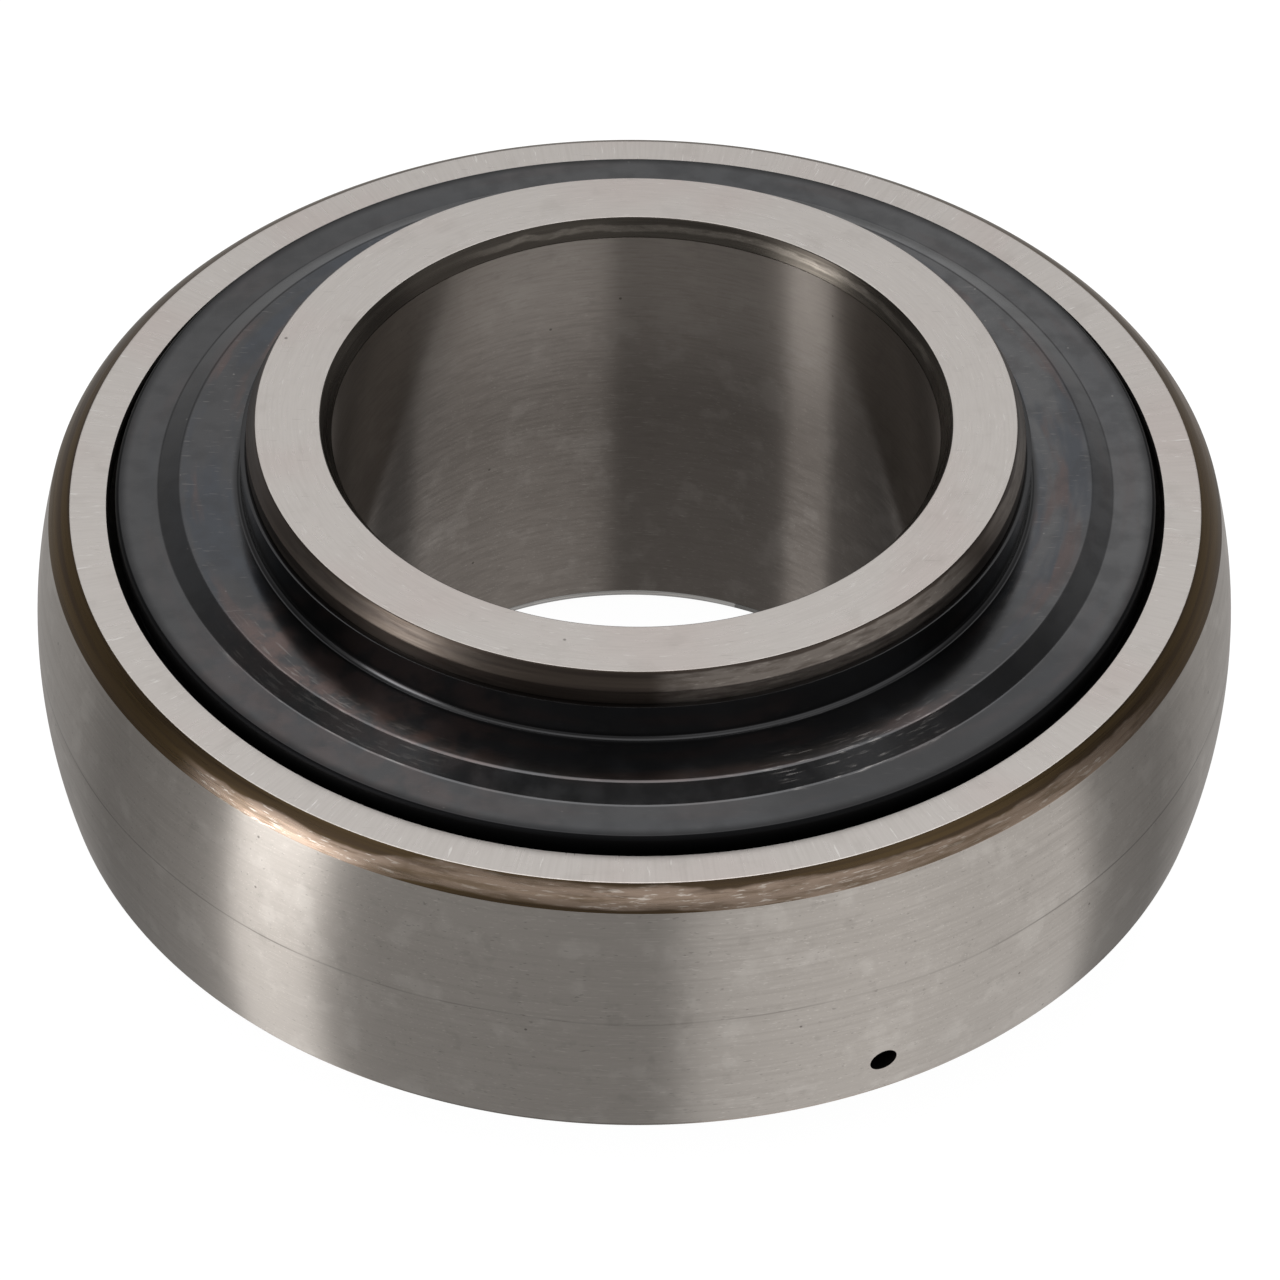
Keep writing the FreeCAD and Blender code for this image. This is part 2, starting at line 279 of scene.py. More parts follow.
def smooth(piece: Object) -> None:
    """Shades a piece smooth across its roundings, with the large faces kept flat.

    Args:
        piece: The piece to shade.
    """
    select_only(piece)
    bpy.ops.object.shade_smooth_by_angle(angle=math.radians(SMOOTH_ANGLE))
    apply_modifier(piece, "WEIGHTED_NORMAL", {"weight": NORMAL_WEIGHT, "keep_sharp": True})


def paint(piece: Object, materials: list[Material]) -> None:
    """Takes a piece's materials off and gives it others."""
    piece.data.materials.clear()
    for material in materials:
        piece.data.materials.append(material)


def dress(piece: Object, materials: list[Material], choose: Callable[[float, float], Material]) -> None:
    """Gives each face of a turned piece its finish by where the face lies.

    Args:
        piece: The piece to dress.
        materials: All its finishes.
        choose: Returns the finish for a face's radius and height.
    """
    paint(piece, materials)
    for face in piece.data.polygons:
        place = face.center / MM
        face.material_index = materials.index(choose(math.hypot(place.x, place.y), place.z))


class NodeGraph:
    """A node tree to which nodes are added."""

    def __init__(self, tree: NodeTree) -> None:
        """Takes the tree that the nodes go to."""
        self.tree = tree

    def add(self, kind: str, settings: dict | None = None, inputs: dict | None = None) -> Node:
        """Adds a node, sets it and feeds its inputs.

        Args:
            kind: The node's type.
            settings: The node's settings by name.
            inputs: What each input, by name or number, is linked to or set to.

        Returns:
            The new node.
        """
        node = self.tree.nodes.new(kind)
        for key, value in (settings or {}).items():
            setattr(node, key, value)
        for key, value in (inputs or {}).items():
            if isinstance(value, NodeSocket):
                self.tree.links.new(value, node.inputs[key])
            else:
                node.inputs[key].default_value = value
        return node

    def span(
        self, value: NodeSocket, low: float, high: float, start: float = 0.0, end: float = 1.0,
    ) -> NodeSocket:
        """Maps a value smoothly from one range to another and clamps it there.

        Args:
            value: The value to map.
            low: The value that gives start.
            high: The value that gives end.
            start: The result at low and beyond it.
            end: The result at high and beyond it.

        Returns:
            The mapped value.
        """
        inputs = {"Value": value, "From Min": low, "From Max": high, "To Min": start, "To Max": end}
        return self.add("ShaderNodeMapRange", {"interpolation_type": "SMOOTHSTEP"}, inputs).outputs[0]

    def times(self, first: NodeSocket, second: NodeSocket | float) -> NodeSocket:
        """Multiplies two values."""
        return self.add("ShaderNodeMath", {"operation": "MULTIPLY"}, {0: first, 1: second}).outputs[0]

    def larger(self, first: NodeSocket, second: NodeSocket | float) -> NodeSocket:
        """Takes the larger of two values."""
        return self.add("ShaderNodeMath", {"operation": "MAXIMUM"}, {0: first, 1: second}).outputs[0]

    def largest(self, values: list[NodeSocket]) -> NodeSocket:
        """Takes the largest of several values.

        Args:
            values: The values, at least one.

        Returns:
            The largest.
        """
        result = values[0]
        for value in values[1:]:
            result = self.larger(result, value)
        return result

    def blend(self, share: NodeSocket, first: NodeSocket | tuple, second: NodeSocket | tuple) -> NodeSocket:
        """Mixes two colours.

        Args:
            share: How much of the second colour shows, from zero to one.
            first: The first colour.
            second: The second colour.

        Returns:
            The mixed colour.
        """
        inputs = {"Factor": share, 6: first, 7: second}
        return self.add("ShaderNodeMix", {"data_type": "RGBA"}, inputs).outputs[2]

    def steps(self, value: NodeSocket, levels: tuple[tuple[float, float], ...]) -> NodeSocket:
        """Looks a level up along a value.

        Args:
            value: The value to look along.
            levels: Pairs of a value and the level there, in order, from the lowest value to the highest.

        Returns:
            The level.
        """
        low, high = levels[0][0], levels[-1][0]
        share = self.add("ShaderNodeMapRange", {}, {"Value": value, "From Min": low, "From Max": high})
        table = self.add("ShaderNodeValToRGB", {}, {0: share.outputs[0]})
        stops = table.color_ramp.elements
        for k, (place, level) in enumerate(levels):
            stop = stops[k] if k < 2 else stops.new(1.0)
            stop.position = (place - low) / (high - low)
            stop.color = (level, level, level, 1)
        return table.outputs[0]


@dataclass(frozen=True)
class Stretch:
    """A stretch of the way round the bearing where something shows, such as handling.

    Attributes:
        azimuth: Its middle, in degrees from -Y towards +X.
        spread: Half its length, in degrees.
        share: How much shows in the middle.
        lift: How much higher the scuffed band of an edge lies there, in millimetres.
    """

    azimuth: float
    spread: float
    share: float
    lift: float = 0.0


@dataclass(frozen=True)
class Pattern:
    """Streaks or blotches on a surface, drawn with a noise.

    Attributes:
        size: How long a streak or how large a blotch is, in millimetres.
        width: How wide a streak is, in millimetres, or zero for blotches.
        seed: A shift that gives another set.
        detail: The noise's detail.
        low: How high the noise is where the pattern starts to show.
        high: How high it is where the pattern shows in full.
        share: How much shows there.
        rest: How much shows elsewhere.
    """

    size: float
    width: float = 0.0
    seed: float = 0.0
    detail: float = 2.0
    low: float = 0.0
    high: float = 1.0
    share: float = 1.0
    rest: float = 0.0


@dataclass(frozen=True)
class Scratches:
    """Short straight scratches that lie several ways.

    Attributes:
        sets: For each way, its turn from the X axis, in degrees, and a shift that gives another set.
        length: How long a scratch is, in millimetres.
        width: How wide a scratch is, in millimetres.
        level: How high the noise has to be for a scratch, which sets how few there are.
    """

    sets: tuple[tuple[float, float], ...]
    length: float
    width: float
    level: float


@dataclass(frozen=True)
class Specks:
    """Small round specks, such as dirt or pits.

    Attributes:
        spacing: How far apart they are, in millimetres.
        size: How large one is, in millimetres.
        seed: A shift that gives another set.
        share: How much of their colour shows.
    """

    spacing: float
    size: float
    seed: float
    share: float


@dataclass(frozen=True)
class Cut:
    """What the grooves of a tool do to a surface.

    Attributes:
        low: How high the grooves' noise is where the surface is smoothest.
        high: How high it is where the surface is roughest.
        less: How much lower the roughness is there at the smoothest.
        more: How much higher it is at the roughest.
        depth: How deep the grooves are, in millimetres.
        strength: How much of that shows.
    """

    low: float
    high: float
    less: float
    more: float
    depth: float
    strength: float


class Graph(NodeGraph):
    """The node tree of one metal or rubber, with the places on a turned piece that its patterns follow.

    Attributes:
        MEAN_RADIUS: Radius at which streaks are as long as they say, in millimetres.
        STREAK_ROUGHNESS: How much the finer parts of streaks count.
        CLOUD_ROUGHNESS: How much the finer parts of an even noise count.
        SCRATCH_RISE: How quickly a scratch is whole.
        SPECK_CORE: Which share of a speck's radius is whole.
        QUARTER_TURN: Turns a highlight's drawn-out way from along the tangent to across it.
    """

    MEAN_RADIUS = 45.0
    STREAK_ROUGHNESS = 0.6
    CLOUD_ROUGHNESS = 0.55
    SCRATCH_RISE = 0.05
    SPECK_CORE = 0.5
    QUARTER_TURN = 0.25

    def __init__(self, name: str, colour: str, metallic: float, roughness: float) -> None:
        """Makes the material, its shader and the places.

        Args:
            name: The material's name.
            colour: The surface's colour under all coats, as #RRGGBB.
            metallic: One for a metal and zero for anything else.
            roughness: The shader's roughness where nothing changes it.
        """
        self.material = bpy.data.materials.new(name)
        self.material.use_nodes = True
        super().__init__(self.material.node_tree)
        self.colour: NodeSocket | tuple[float, float, float, float] = linear(colour)
        self.shader = self.tree.nodes["Principled BSDF"]
        self.shader.inputs["Base Color"].default_value = self.colour
        self.shader.inputs["Metallic"].default_value = metallic
        self.shader.inputs["Roughness"].default_value = roughness
        self.position = self.add("ShaderNodeTexCoord").outputs["Object"]
        flat = self.add("ShaderNodeVectorMath", {"operation": "MULTIPLY"}, {0: self.position, 1: (1, 1, 0)})
        away = {0: flat.outputs[0]}
        self.direction = self.add("ShaderNodeVectorMath", {"operation": "NORMALIZE"}, away).outputs[0]
        self.radius = self.add("ShaderNodeVectorMath", {"operation": "LENGTH"}, away).outputs["Value"]
        self.height = self.add("ShaderNodeSeparateXYZ", {}, {0: self.position}).outputs["Z"]

    def coat(self, share: NodeSocket, colour: str, strength: float = 1.0) -> None:
        """Lays a colour over those that the surface has so far.

        Args:
            share: Where the colour shows, from zero to one.
            colour: The colour as #RRGGBB.
            strength: How much of it shows where the share is one.
        """
        if strength != 1.0:
            share = self.times(share, strength)
        self.colour = self.blend(share, self.colour, linear(colour))

    def finished(self) -> Material:
        """Feeds the coats to the shader and returns the material."""
        self.feed("Base Color", self.colour)
        return self.material

    def feed(self, socket: str, value: NodeSocket) -> None:
        """Links a value to one of the shader's sockets."""
        self.tree.links.new(value, self.shader.inputs[socket])

    def noise(self, pattern: Pattern, lay: Lay = Lay.AROUND) -> NodeSocket:
        """Makes a pattern's noise.

        Args:
            pattern: The pattern.
            lay: Which way streaks run.

        Returns:
            The noise, about a half on average.
        """
        if pattern.width:
            return self.streaks(pattern, lay)
        noise = {
            "Vector": self.shifted(pattern.seed), "Scale": 1 / (pattern.size * MM),
            "Detail": pattern.detail, "Roughness": self.CLOUD_ROUGHNESS,
        }
        return self.add("ShaderNodeTexNoise", {}, noise).outputs[0]

    def streaks(self, pattern: Pattern, lay: Lay) -> NodeSocket:
        """Makes the streaks that a turned or ground surface has, as noise drawn out along its lay.

        Args:
            pattern: The pattern.
            lay: Which way the streaks run.

        Returns:
            The noise, about a half on average.
        """
        turning, sloping = pattern.size, pattern.width
        if lay is Lay.ACROSS:
            turning, sloping = sloping, turning
        way = {0: self.direction, "Scale": self.MEAN_RADIUS / turning}
        round_way = self.add("ShaderNodeVectorMath", {"operation": "SCALE"}, way)
        rise = {0: self.height, 1: 1 / (sloping * MM), 2: pattern.seed}
        level = self.add("ShaderNodeMath", {"operation": "MULTIPLY_ADD"}, rise)
        up = self.add("ShaderNodeCombineXYZ", {}, {"Z": level.outputs[0]})
        both = {0: round_way.outputs[0], 1: up.outputs[0]}
        place = self.add("ShaderNodeVectorMath", {"operation": "ADD"}, both)
        noise = {
            "Vector": place.outputs[0], "W": self.times(self.radius, 1 / (sloping * MM)), "Scale": 1.0,
            "Detail": pattern.detail, "Roughness": self.STREAK_ROUGHNESS,
        }
        return self.add("ShaderNodeTexNoise", {"noise_dimensions": "4D"}, noise).outputs[0]

    def show(self, pattern: Pattern, noise: NodeSocket | None = None) -> NodeSocket:
        """Works out how much of a pattern shows at a place.

        Args:
            pattern: The pattern.
            noise: Its noise, where that is made already.

        Returns:
            The pattern's share where the noise is high and its rest where it is low.
        """
        if noise is None:
            noise = self.noise(pattern)
        return self.span(noise, pattern.low, pattern.high, pattern.rest, pattern.share)

    def shifted(self, seed: float) -> NodeSocket:
        """Shifts the places, in metres along each axis, so that a pattern comes out another way."""
        shift = {0: self.position, 1: (seed, seed, seed)}
        return self.add("ShaderNodeVectorMath", {"operation": "ADD"}, shift).outputs[0]

    def scratches(self, scratches: Scratches) -> list[NodeSocket]:
        """Makes scratches.

        Args:
            scratches: The scratches.

        Returns:
            For each way that they lie, a value of one on a scratch and zero elsewhere.
        """
        found = []
        thin = 1 / (scratches.width * MM)
        for turn, seed in scratches.sets:
            inputs = {
                "Vector": self.position,
                "Location": (seed, seed, 0),
                "Rotation": (0, 0, math.radians(turn)),
                "Scale": (1 / (scratches.length * MM), thin, thin),
            }
            place = self.add("ShaderNodeMapping", {"vector_type": "POINT"}, inputs).outputs[0]
            noise = self.add("ShaderNodeTexNoise", {}, {"Vector": place, "Scale": 1.0, "Detail": 1.0})
            low = scratches.level
            found.append(self.span(noise.outputs[0], low, low + self.SCRATCH_RISE))
        return found

    def speckle(self, specks: Specks, colour: str) -> None:
        """Lays specks over the surface.

        Args:
            specks: The specks.
            colour: Their colour as #RRGGBB.
        """
        cells = {
            "Vector": self.shifted(specks.seed), "Scale": 1 / (specks.spacing * MM), "Randomness": 1.0,
        }
        distance = self.add("ShaderNodeTexVoronoi", {}, cells).outputs["Distance"]
        edge = specks.size / specks.spacing
        self.coat(self.span(distance, edge, edge * self.SPECK_CORE), colour, specks.share)

    def toward(self, stretch: Stretch, peak: float) -> NodeSocket:
        """Works out how near a place is to the middle of a stretch of the way round.

        Args:
            stretch: The stretch.
            peak: The value in its middle.

        Returns:
            The value, falling to zero at the stretch's ends.
        """
        turn = math.radians(stretch.azimuth)
        way = {0: self.direction, 1: (math.sin(turn), -math.cos(turn), 0)}
        facing = self.add("ShaderNodeVectorMath", {"operation": "DOT_PRODUCT"}, way).outputs["Value"]
        edge = math.cos(math.radians(stretch.spread))
        return self.span(facing, edge, (2 + edge) / 3, 0.0, peak)

    def shares(self, stretches: tuple[Stretch, ...]) -> NodeSocket:
        """Takes the largest share that some stretches have at a place."""
        return self.largest([self.toward(stretch, stretch.share) for stretch in stretches])

    def rings(self, low: float, high: float, start: float = 0.0, end: float = 1.0) -> NodeSocket:
        """Maps the distance from the axis as span does, between two radii in millimetres."""
        return self.span(self.radius, low * MM, high * MM, start, end)

    def bump(self, height: NodeSocket, depth: float, strength: float = 1.0) -> None:
        """Feeds a height to the shader's normal.

        Args:
            height: The height, from zero to one.
            depth: How deep one is, in millimetres.
            strength: How much of it shows.
        """
        inputs = {"Height": height, "Distance": depth * MM, "Strength": strength}
        self.feed("Normal", self.add("ShaderNodeBump", {}, inputs).outputs[0])

    def cut(self, noise: NodeSocket, cut: Cut, roughness: float) -> None:
        """Lets the roughness and the normal follow the grooves of a tool.

        Args:
            noise: The grooves' noise.
            cut: What they do.
            roughness: The shader's roughness between the smoothest and the roughest.
        """
        least, most = roughness - cut.less, roughness + cut.more
        self.feed("Roughness", self.span(noise, cut.low, cut.high, least, most))
        self.bump(noise, cut.depth, cut.strength)

    def grain(self, amount: float) -> None:
        """Draws highlights out across marks that run round the axis, as fine grooves do.

        Args:
            amount: The shader's anisotropy.
        """
        self.shader.inputs["Anisotropic"].default_value = amount
        self.shader.inputs["Anisotropic Rotation"].default_value = self.QUARTER_TURN
        ways = {0: (0, 0, 1), 1: self.direction}
        around = self.add("ShaderNodeVectorMath", {"operation": "CROSS_PRODUCT"}, ways)
        self.feed("Tangent", around.outputs[0])


@dataclass(frozen=True)
class GroundFace:
    """Bearing steel, hardened and face ground: pale, satin and almost even, with short fine marks.

    Attributes:
        name: The material's name.
        lay: Which way the marks run.
        marks: How much the lighter marks show.
        colour: The steel's colour.
        tint: The colour of its faint patches.
        groove: The colour of the grinding grooves.
        smudge: The colour of the smudges of handling.
        glint: The colour of the lighter marks.
        scratch: The colour of the scratches.
        pit: The colour of the pits.
        roughness: The shader's roughness.
        patches: The faint patches.
        grooves: The grinding grooves, drawn wider than they are so that they show.
        smudges: The smudges of handling.
        glints: The lighter marks.
        scratches: The scratches.
        scratched: How much of them shows.
        pits: The pits.
        cut: What the grooves do to the surface.
    """

    name: str
    lay: Lay
    marks: float
    colour: str = "#D5CFCA"
    tint: str = "#D3CAC5"
    groove: str = "#9C958E"
    smudge: str = "#A19A93"
    glint: str = "#FBF8F4"
    scratch: str = "#8A837C"
    pit: str = "#4C463F"
    roughness: float = 0.3
    patches: Pattern = Pattern(16.0, low=0.45, high=0.7)
    grooves: Pattern = Pattern(5.0, 0.25, low=0.35, high=0.75, share=0.12)
    smudges: Pattern = Pattern(4.0, seed=0.9, detail=4.0, low=0.54, high=0.72, share=0.14)
    glints: Pattern = Pattern(2.2, 0.24, seed=7.3, low=0.64, high=0.72)
    scratches: Scratches = Scratches(((20.0, 0.3), (75.0, 0.7), (130.0, 1.1)), 3.0, 0.16, 0.74)
    scratched: float = 0.3
    pits: Specks = Specks(7.0, 0.22, 0.1, 0.6)
    cut: Cut = Cut(0.3, 0.7, 0.03, 0.05, depth=0.004, strength=0.4)

    def material(self) -> Material:
        """Makes the material.

        Returns:
            The material, with grinding marks drawn 0.25 mm wide so that they show.
        """
        graph = Graph(self.name, self.colour, 1.0, self.roughness)
        graph.coat(graph.show(self.patches), self.tint)
        grooves = graph.noise(self.grooves, self.lay)
        graph.coat(graph.show(self.grooves, grooves), self.groove)
        graph.coat(graph.show(self.smudges), self.smudge)
        glints = graph.noise(self.glints, self.lay)
        graph.coat(graph.show(self.glints, glints), self.glint, self.marks)
        for scratch in graph.scratches(self.scratches):
            graph.coat(scratch, self.scratch, self.scratched)
        graph.speckle(self.pits, self.pit)
        graph.cut(grooves, self.cut, self.roughness)
        return graph.finished()


@dataclass(frozen=True)
class GroundWall:
    """Bearing steel, hardened and ground round: satin, with grooves that draw reflections out upwards.

    Attributes:
        name: The material's name.
        colour: The steel's colour.
        shade: The colour of its darker streaks.
        grooves: The streaks that the grooves of grinding make, drawn wide enough to show.
        handled: How much the paler smudges of handling show.
        scratched: How much the brushed marks, the short scratches and the dents show.
        line_height: Height of the faint line that a housing left, or None.
        painted_top_highlight: A painted highlight as a paler colour towards the upper mouth, or None.
        painted_top_highlight_height: Height at which the painted highlight is whole.
        smudge: The colour of the smudges.
        brushed: The colour of the fine brushed marks.
        dull: The colour of the dull patches.
        scratch: The colour of the scratches.
        dent: The colour of the dents and of the line that a housing left.
        pit: The colour of the pits.
        roughness: The shader's roughness.
        smudges: The smudges of handling.
        brushes: The fine brushed marks.
        patches: The dull patches.
        scratches: The scratches.
        dents: The dents, each beside a scratch.
        pits: The pits.
        wander: How far the housing's line wanders up and down, in metres.
        kept: Where along its way the line is kept.
        line_reach: Distances from the line's middle where it starts to show and where it is whole.
        cut: What the grooves do to the surface.
    """

    name: str
    colour: str
    shade: str
    grooves: Pattern
    handled: float
    scratched: float
    line_height: float | None = None
    painted_top_highlight: str | None = None
    painted_top_highlight_height: float = 22.0
    smudge: str = "#D8D2CB"
    brushed: str = "#DAD3CC"
    dull: str = "#6B655F"
    scratch: str = "#E4DED7"
    dent: str = "#5B5550"
    pit: str = "#3F3A35"
    roughness: float = 0.3
    smudges: Pattern = Pattern(4.0, seed=0.4, detail=6.0, low=0.52, high=0.68)
    brushes: Pattern = Pattern(1.6, 0.22, seed=6.6, detail=3.0, low=0.56, high=0.7, share=0.7)
    patches: Pattern = Pattern(2.2, seed=1.9, detail=3.0, low=0.58, high=0.74, share=0.14)
    scratches: Scratches = Scratches(((12.0, 0.2), (60.0, 0.6), (150.0, 0.9)), 2.2, 0.18, 0.7)
    dents: Scratches = Scratches(((52.0, 2.2), (100.0, 2.6), (190.0, 2.9)), 1.1, 0.3, 0.73)
    pits: Specks = Specks(5.0, 0.2, 0.3, 0.6)
    wander: Pattern = Pattern(30.0, 40.0, seed=3.1, low=0.3, high=0.7, share=0.3 * MM, rest=-0.3 * MM)
    kept: Pattern = Pattern(14.0, 40.0, seed=5.7, low=0.35, high=0.6, share=0.55, rest=0.1)
    line_reach: tuple[float, float] = (0.14, 0.05)
    cut: Cut = Cut(0.3, 0.7, 0.02, 0.03, depth=0.002, strength=0.15)

    def material(self) -> Material:
        """Makes the material.

        Returns:
            The material, with grooves drawn 0.3 mm wide so that they show.
        """
        graph = Graph(self.name, self.colour, 1.0, self.roughness)
        grooves = graph.noise(self.grooves)
        # Painted highlight: paler from the middle up to the upper mouth, standing in for the brighter
        # reflection there.
        if self.painted_top_highlight is not None:
            graph.coat(graph.span(graph.height, 0.0, self.painted_top_highlight_height * MM), self.painted_top_highlight)
        graph.coat(graph.show(self.grooves, grooves), self.shade)
        graph.coat(graph.show(self.smudges), self.smudge, self.handled)
        graph.coat(graph.show(self.brushes), self.brushed, self.scratched)
        graph.coat(graph.show(self.patches), self.dull)
        for scratch, dent in zip(graph.scratches(self.scratches), graph.scratches(self.dents)):
            graph.coat(scratch, self.scratch, self.scratched)
            graph.coat(dent, self.dent, self.scratched)
        graph.speckle(self.pits, self.pit)
        if self.line_height is not None:
            graph.coat(self.housing_line(graph, self.line_height), self.dent)
        graph.cut(grooves, self.cut, self.roughness)
        graph.grain(1.0)
        return graph.finished()

    def housing_line(self, graph: Graph, line_height: float) -> NodeSocket:
        """Draws the thin line round the middle that comes and goes.

        Args:
            graph: The material's graph.
            line_height: Height of the line, in millimetres.

        Returns:
            How much of the line shows.
        """
        wandering = {0: graph.height, 1: graph.show(self.wander)}
        level = graph.add("ShaderNodeMath", {"operation": "ADD"}, wandering).outputs[0]
        away = graph.add("ShaderNodeMath", {"operation": "SUBTRACT"}, {0: level, 1: line_height * MM})
        size = graph.add("ShaderNodeMath", {"operation": "ABSOLUTE"}, {0: away.outputs[0]}).outputs[0]
        start, whole = self.line_reach
        return graph.times(graph.span(size, start * MM, whole * MM), graph.show(self.kept))


@dataclass(frozen=True)
class ScaledEdge:
    """Turned steel under the thin oxide of its hardening: brown with golden bands, rubbed bright in places.

    Attributes:
        name: The material's name.
        dark: The colour of the oxide.
        golden: The colour of the oxide's thinner bands.
        worn: The colour of the oxide where it is scuffed.
        bare: The colour of the steel where the oxide is gone.
        roughness: The shader's roughness.
        band: Distances from the middle plane between which the edge is scuffed, in millimetres.
        rubs: Where the oxide is rubbed off.
        softness: How far the band's edges fade either way, in millimetres.
        bands: The golden bands.
        grooves: The grooves of turning, drawn wider than they are so that they show.
        ragged: The raggedness of the scuffs.
        glints: The bare glints in them.
        glinting: How much of the glints shows.
        wander: How far the band wanders up and down, in metres.
        cut: What the grooves do to the surface.
        stretched: How far the grooves draw highlights out, from zero to one.
    """

    name: str
    dark: str
    golden: str
    worn: str
    bare: str
    roughness: float
    band: tuple[float, float]
    rubs: tuple[Stretch, ...]
    softness: float = 0.1
    bands: Pattern = Pattern(40.0, 0.8, seed=1.7, low=0.35, high=0.65)
    grooves: Pattern = Pattern(9.0, 0.2, seed=2.9, detail=4.0)
    ragged: Pattern = Pattern(4.0, 0.6, seed=5.2, detail=4.0, low=0.36, high=0.54, rest=0.45)
    glints: Pattern = Pattern(1.3, 0.2, seed=4.4, detail=3.0, low=0.55, high=0.65)
    glinting: float = 0.75
    wander: Pattern = Pattern(
        7.0, 40.0, seed=8.4, detail=3.0, low=0.3, high=0.7, share=0.15 * MM, rest=-0.15 * MM,
    )
    cut: Cut = Cut(0.35, 0.7, 0.06, 0.06, depth=0.006, strength=0.3)
    stretched: float = 0.5

    def material(self) -> Material:
        """Makes the material.

        Returns:
            The material, with turning marks drawn 0.2 mm wide so that they show.
        """
        graph = Graph(self.name, self.dark, 1.0, self.roughness)
        graph.coat(graph.show(self.bands), self.golden)
        rubbed = graph.shares(self.rubs)
        scuffed = graph.times(graph.times(graph.show(self.ragged), self.middle(graph)), rubbed)
        graph.coat(scuffed, self.worn)
        bare = graph.times(scuffed, graph.times(rubbed, rubbed))
        graph.coat(graph.times(graph.show(self.glints), bare), self.bare, self.glinting)
        graph.cut(graph.noise(self.grooves), self.cut, self.roughness)
        graph.grain(self.stretched)
        return graph.finished()

    def middle(self, graph: Graph) -> NodeSocket:
        """Works out the scuffed band between the edge's two corners, on either side of the bearing.

        Args:
            graph: The material's graph.

        Returns:
            One in the band's middle and zero at the corners.
        """
        low, high = self.band
        lift = graph.largest([graph.toward(rub, rub.lift * MM) for rub in self.rubs])
        size = graph.add("ShaderNodeMath", {"operation": "ABSOLUTE"}, {0: graph.height}).outputs[0]
        wandering = {0: size, 1: graph.show(self.wander)}
        level = graph.add("ShaderNodeMath", {"operation": "ADD"}, wandering).outputs[0]
        level = graph.add("ShaderNodeMath", {"operation": "SUBTRACT"}, {0: level, 1: lift}).outputs[0]
        rise = graph.span(level, (low - self.softness) * MM, (low + self.softness) * MM)
        fall = graph.span(level, (high + self.softness) * MM, (high - self.softness) * MM)
        return graph.times(rise, fall)


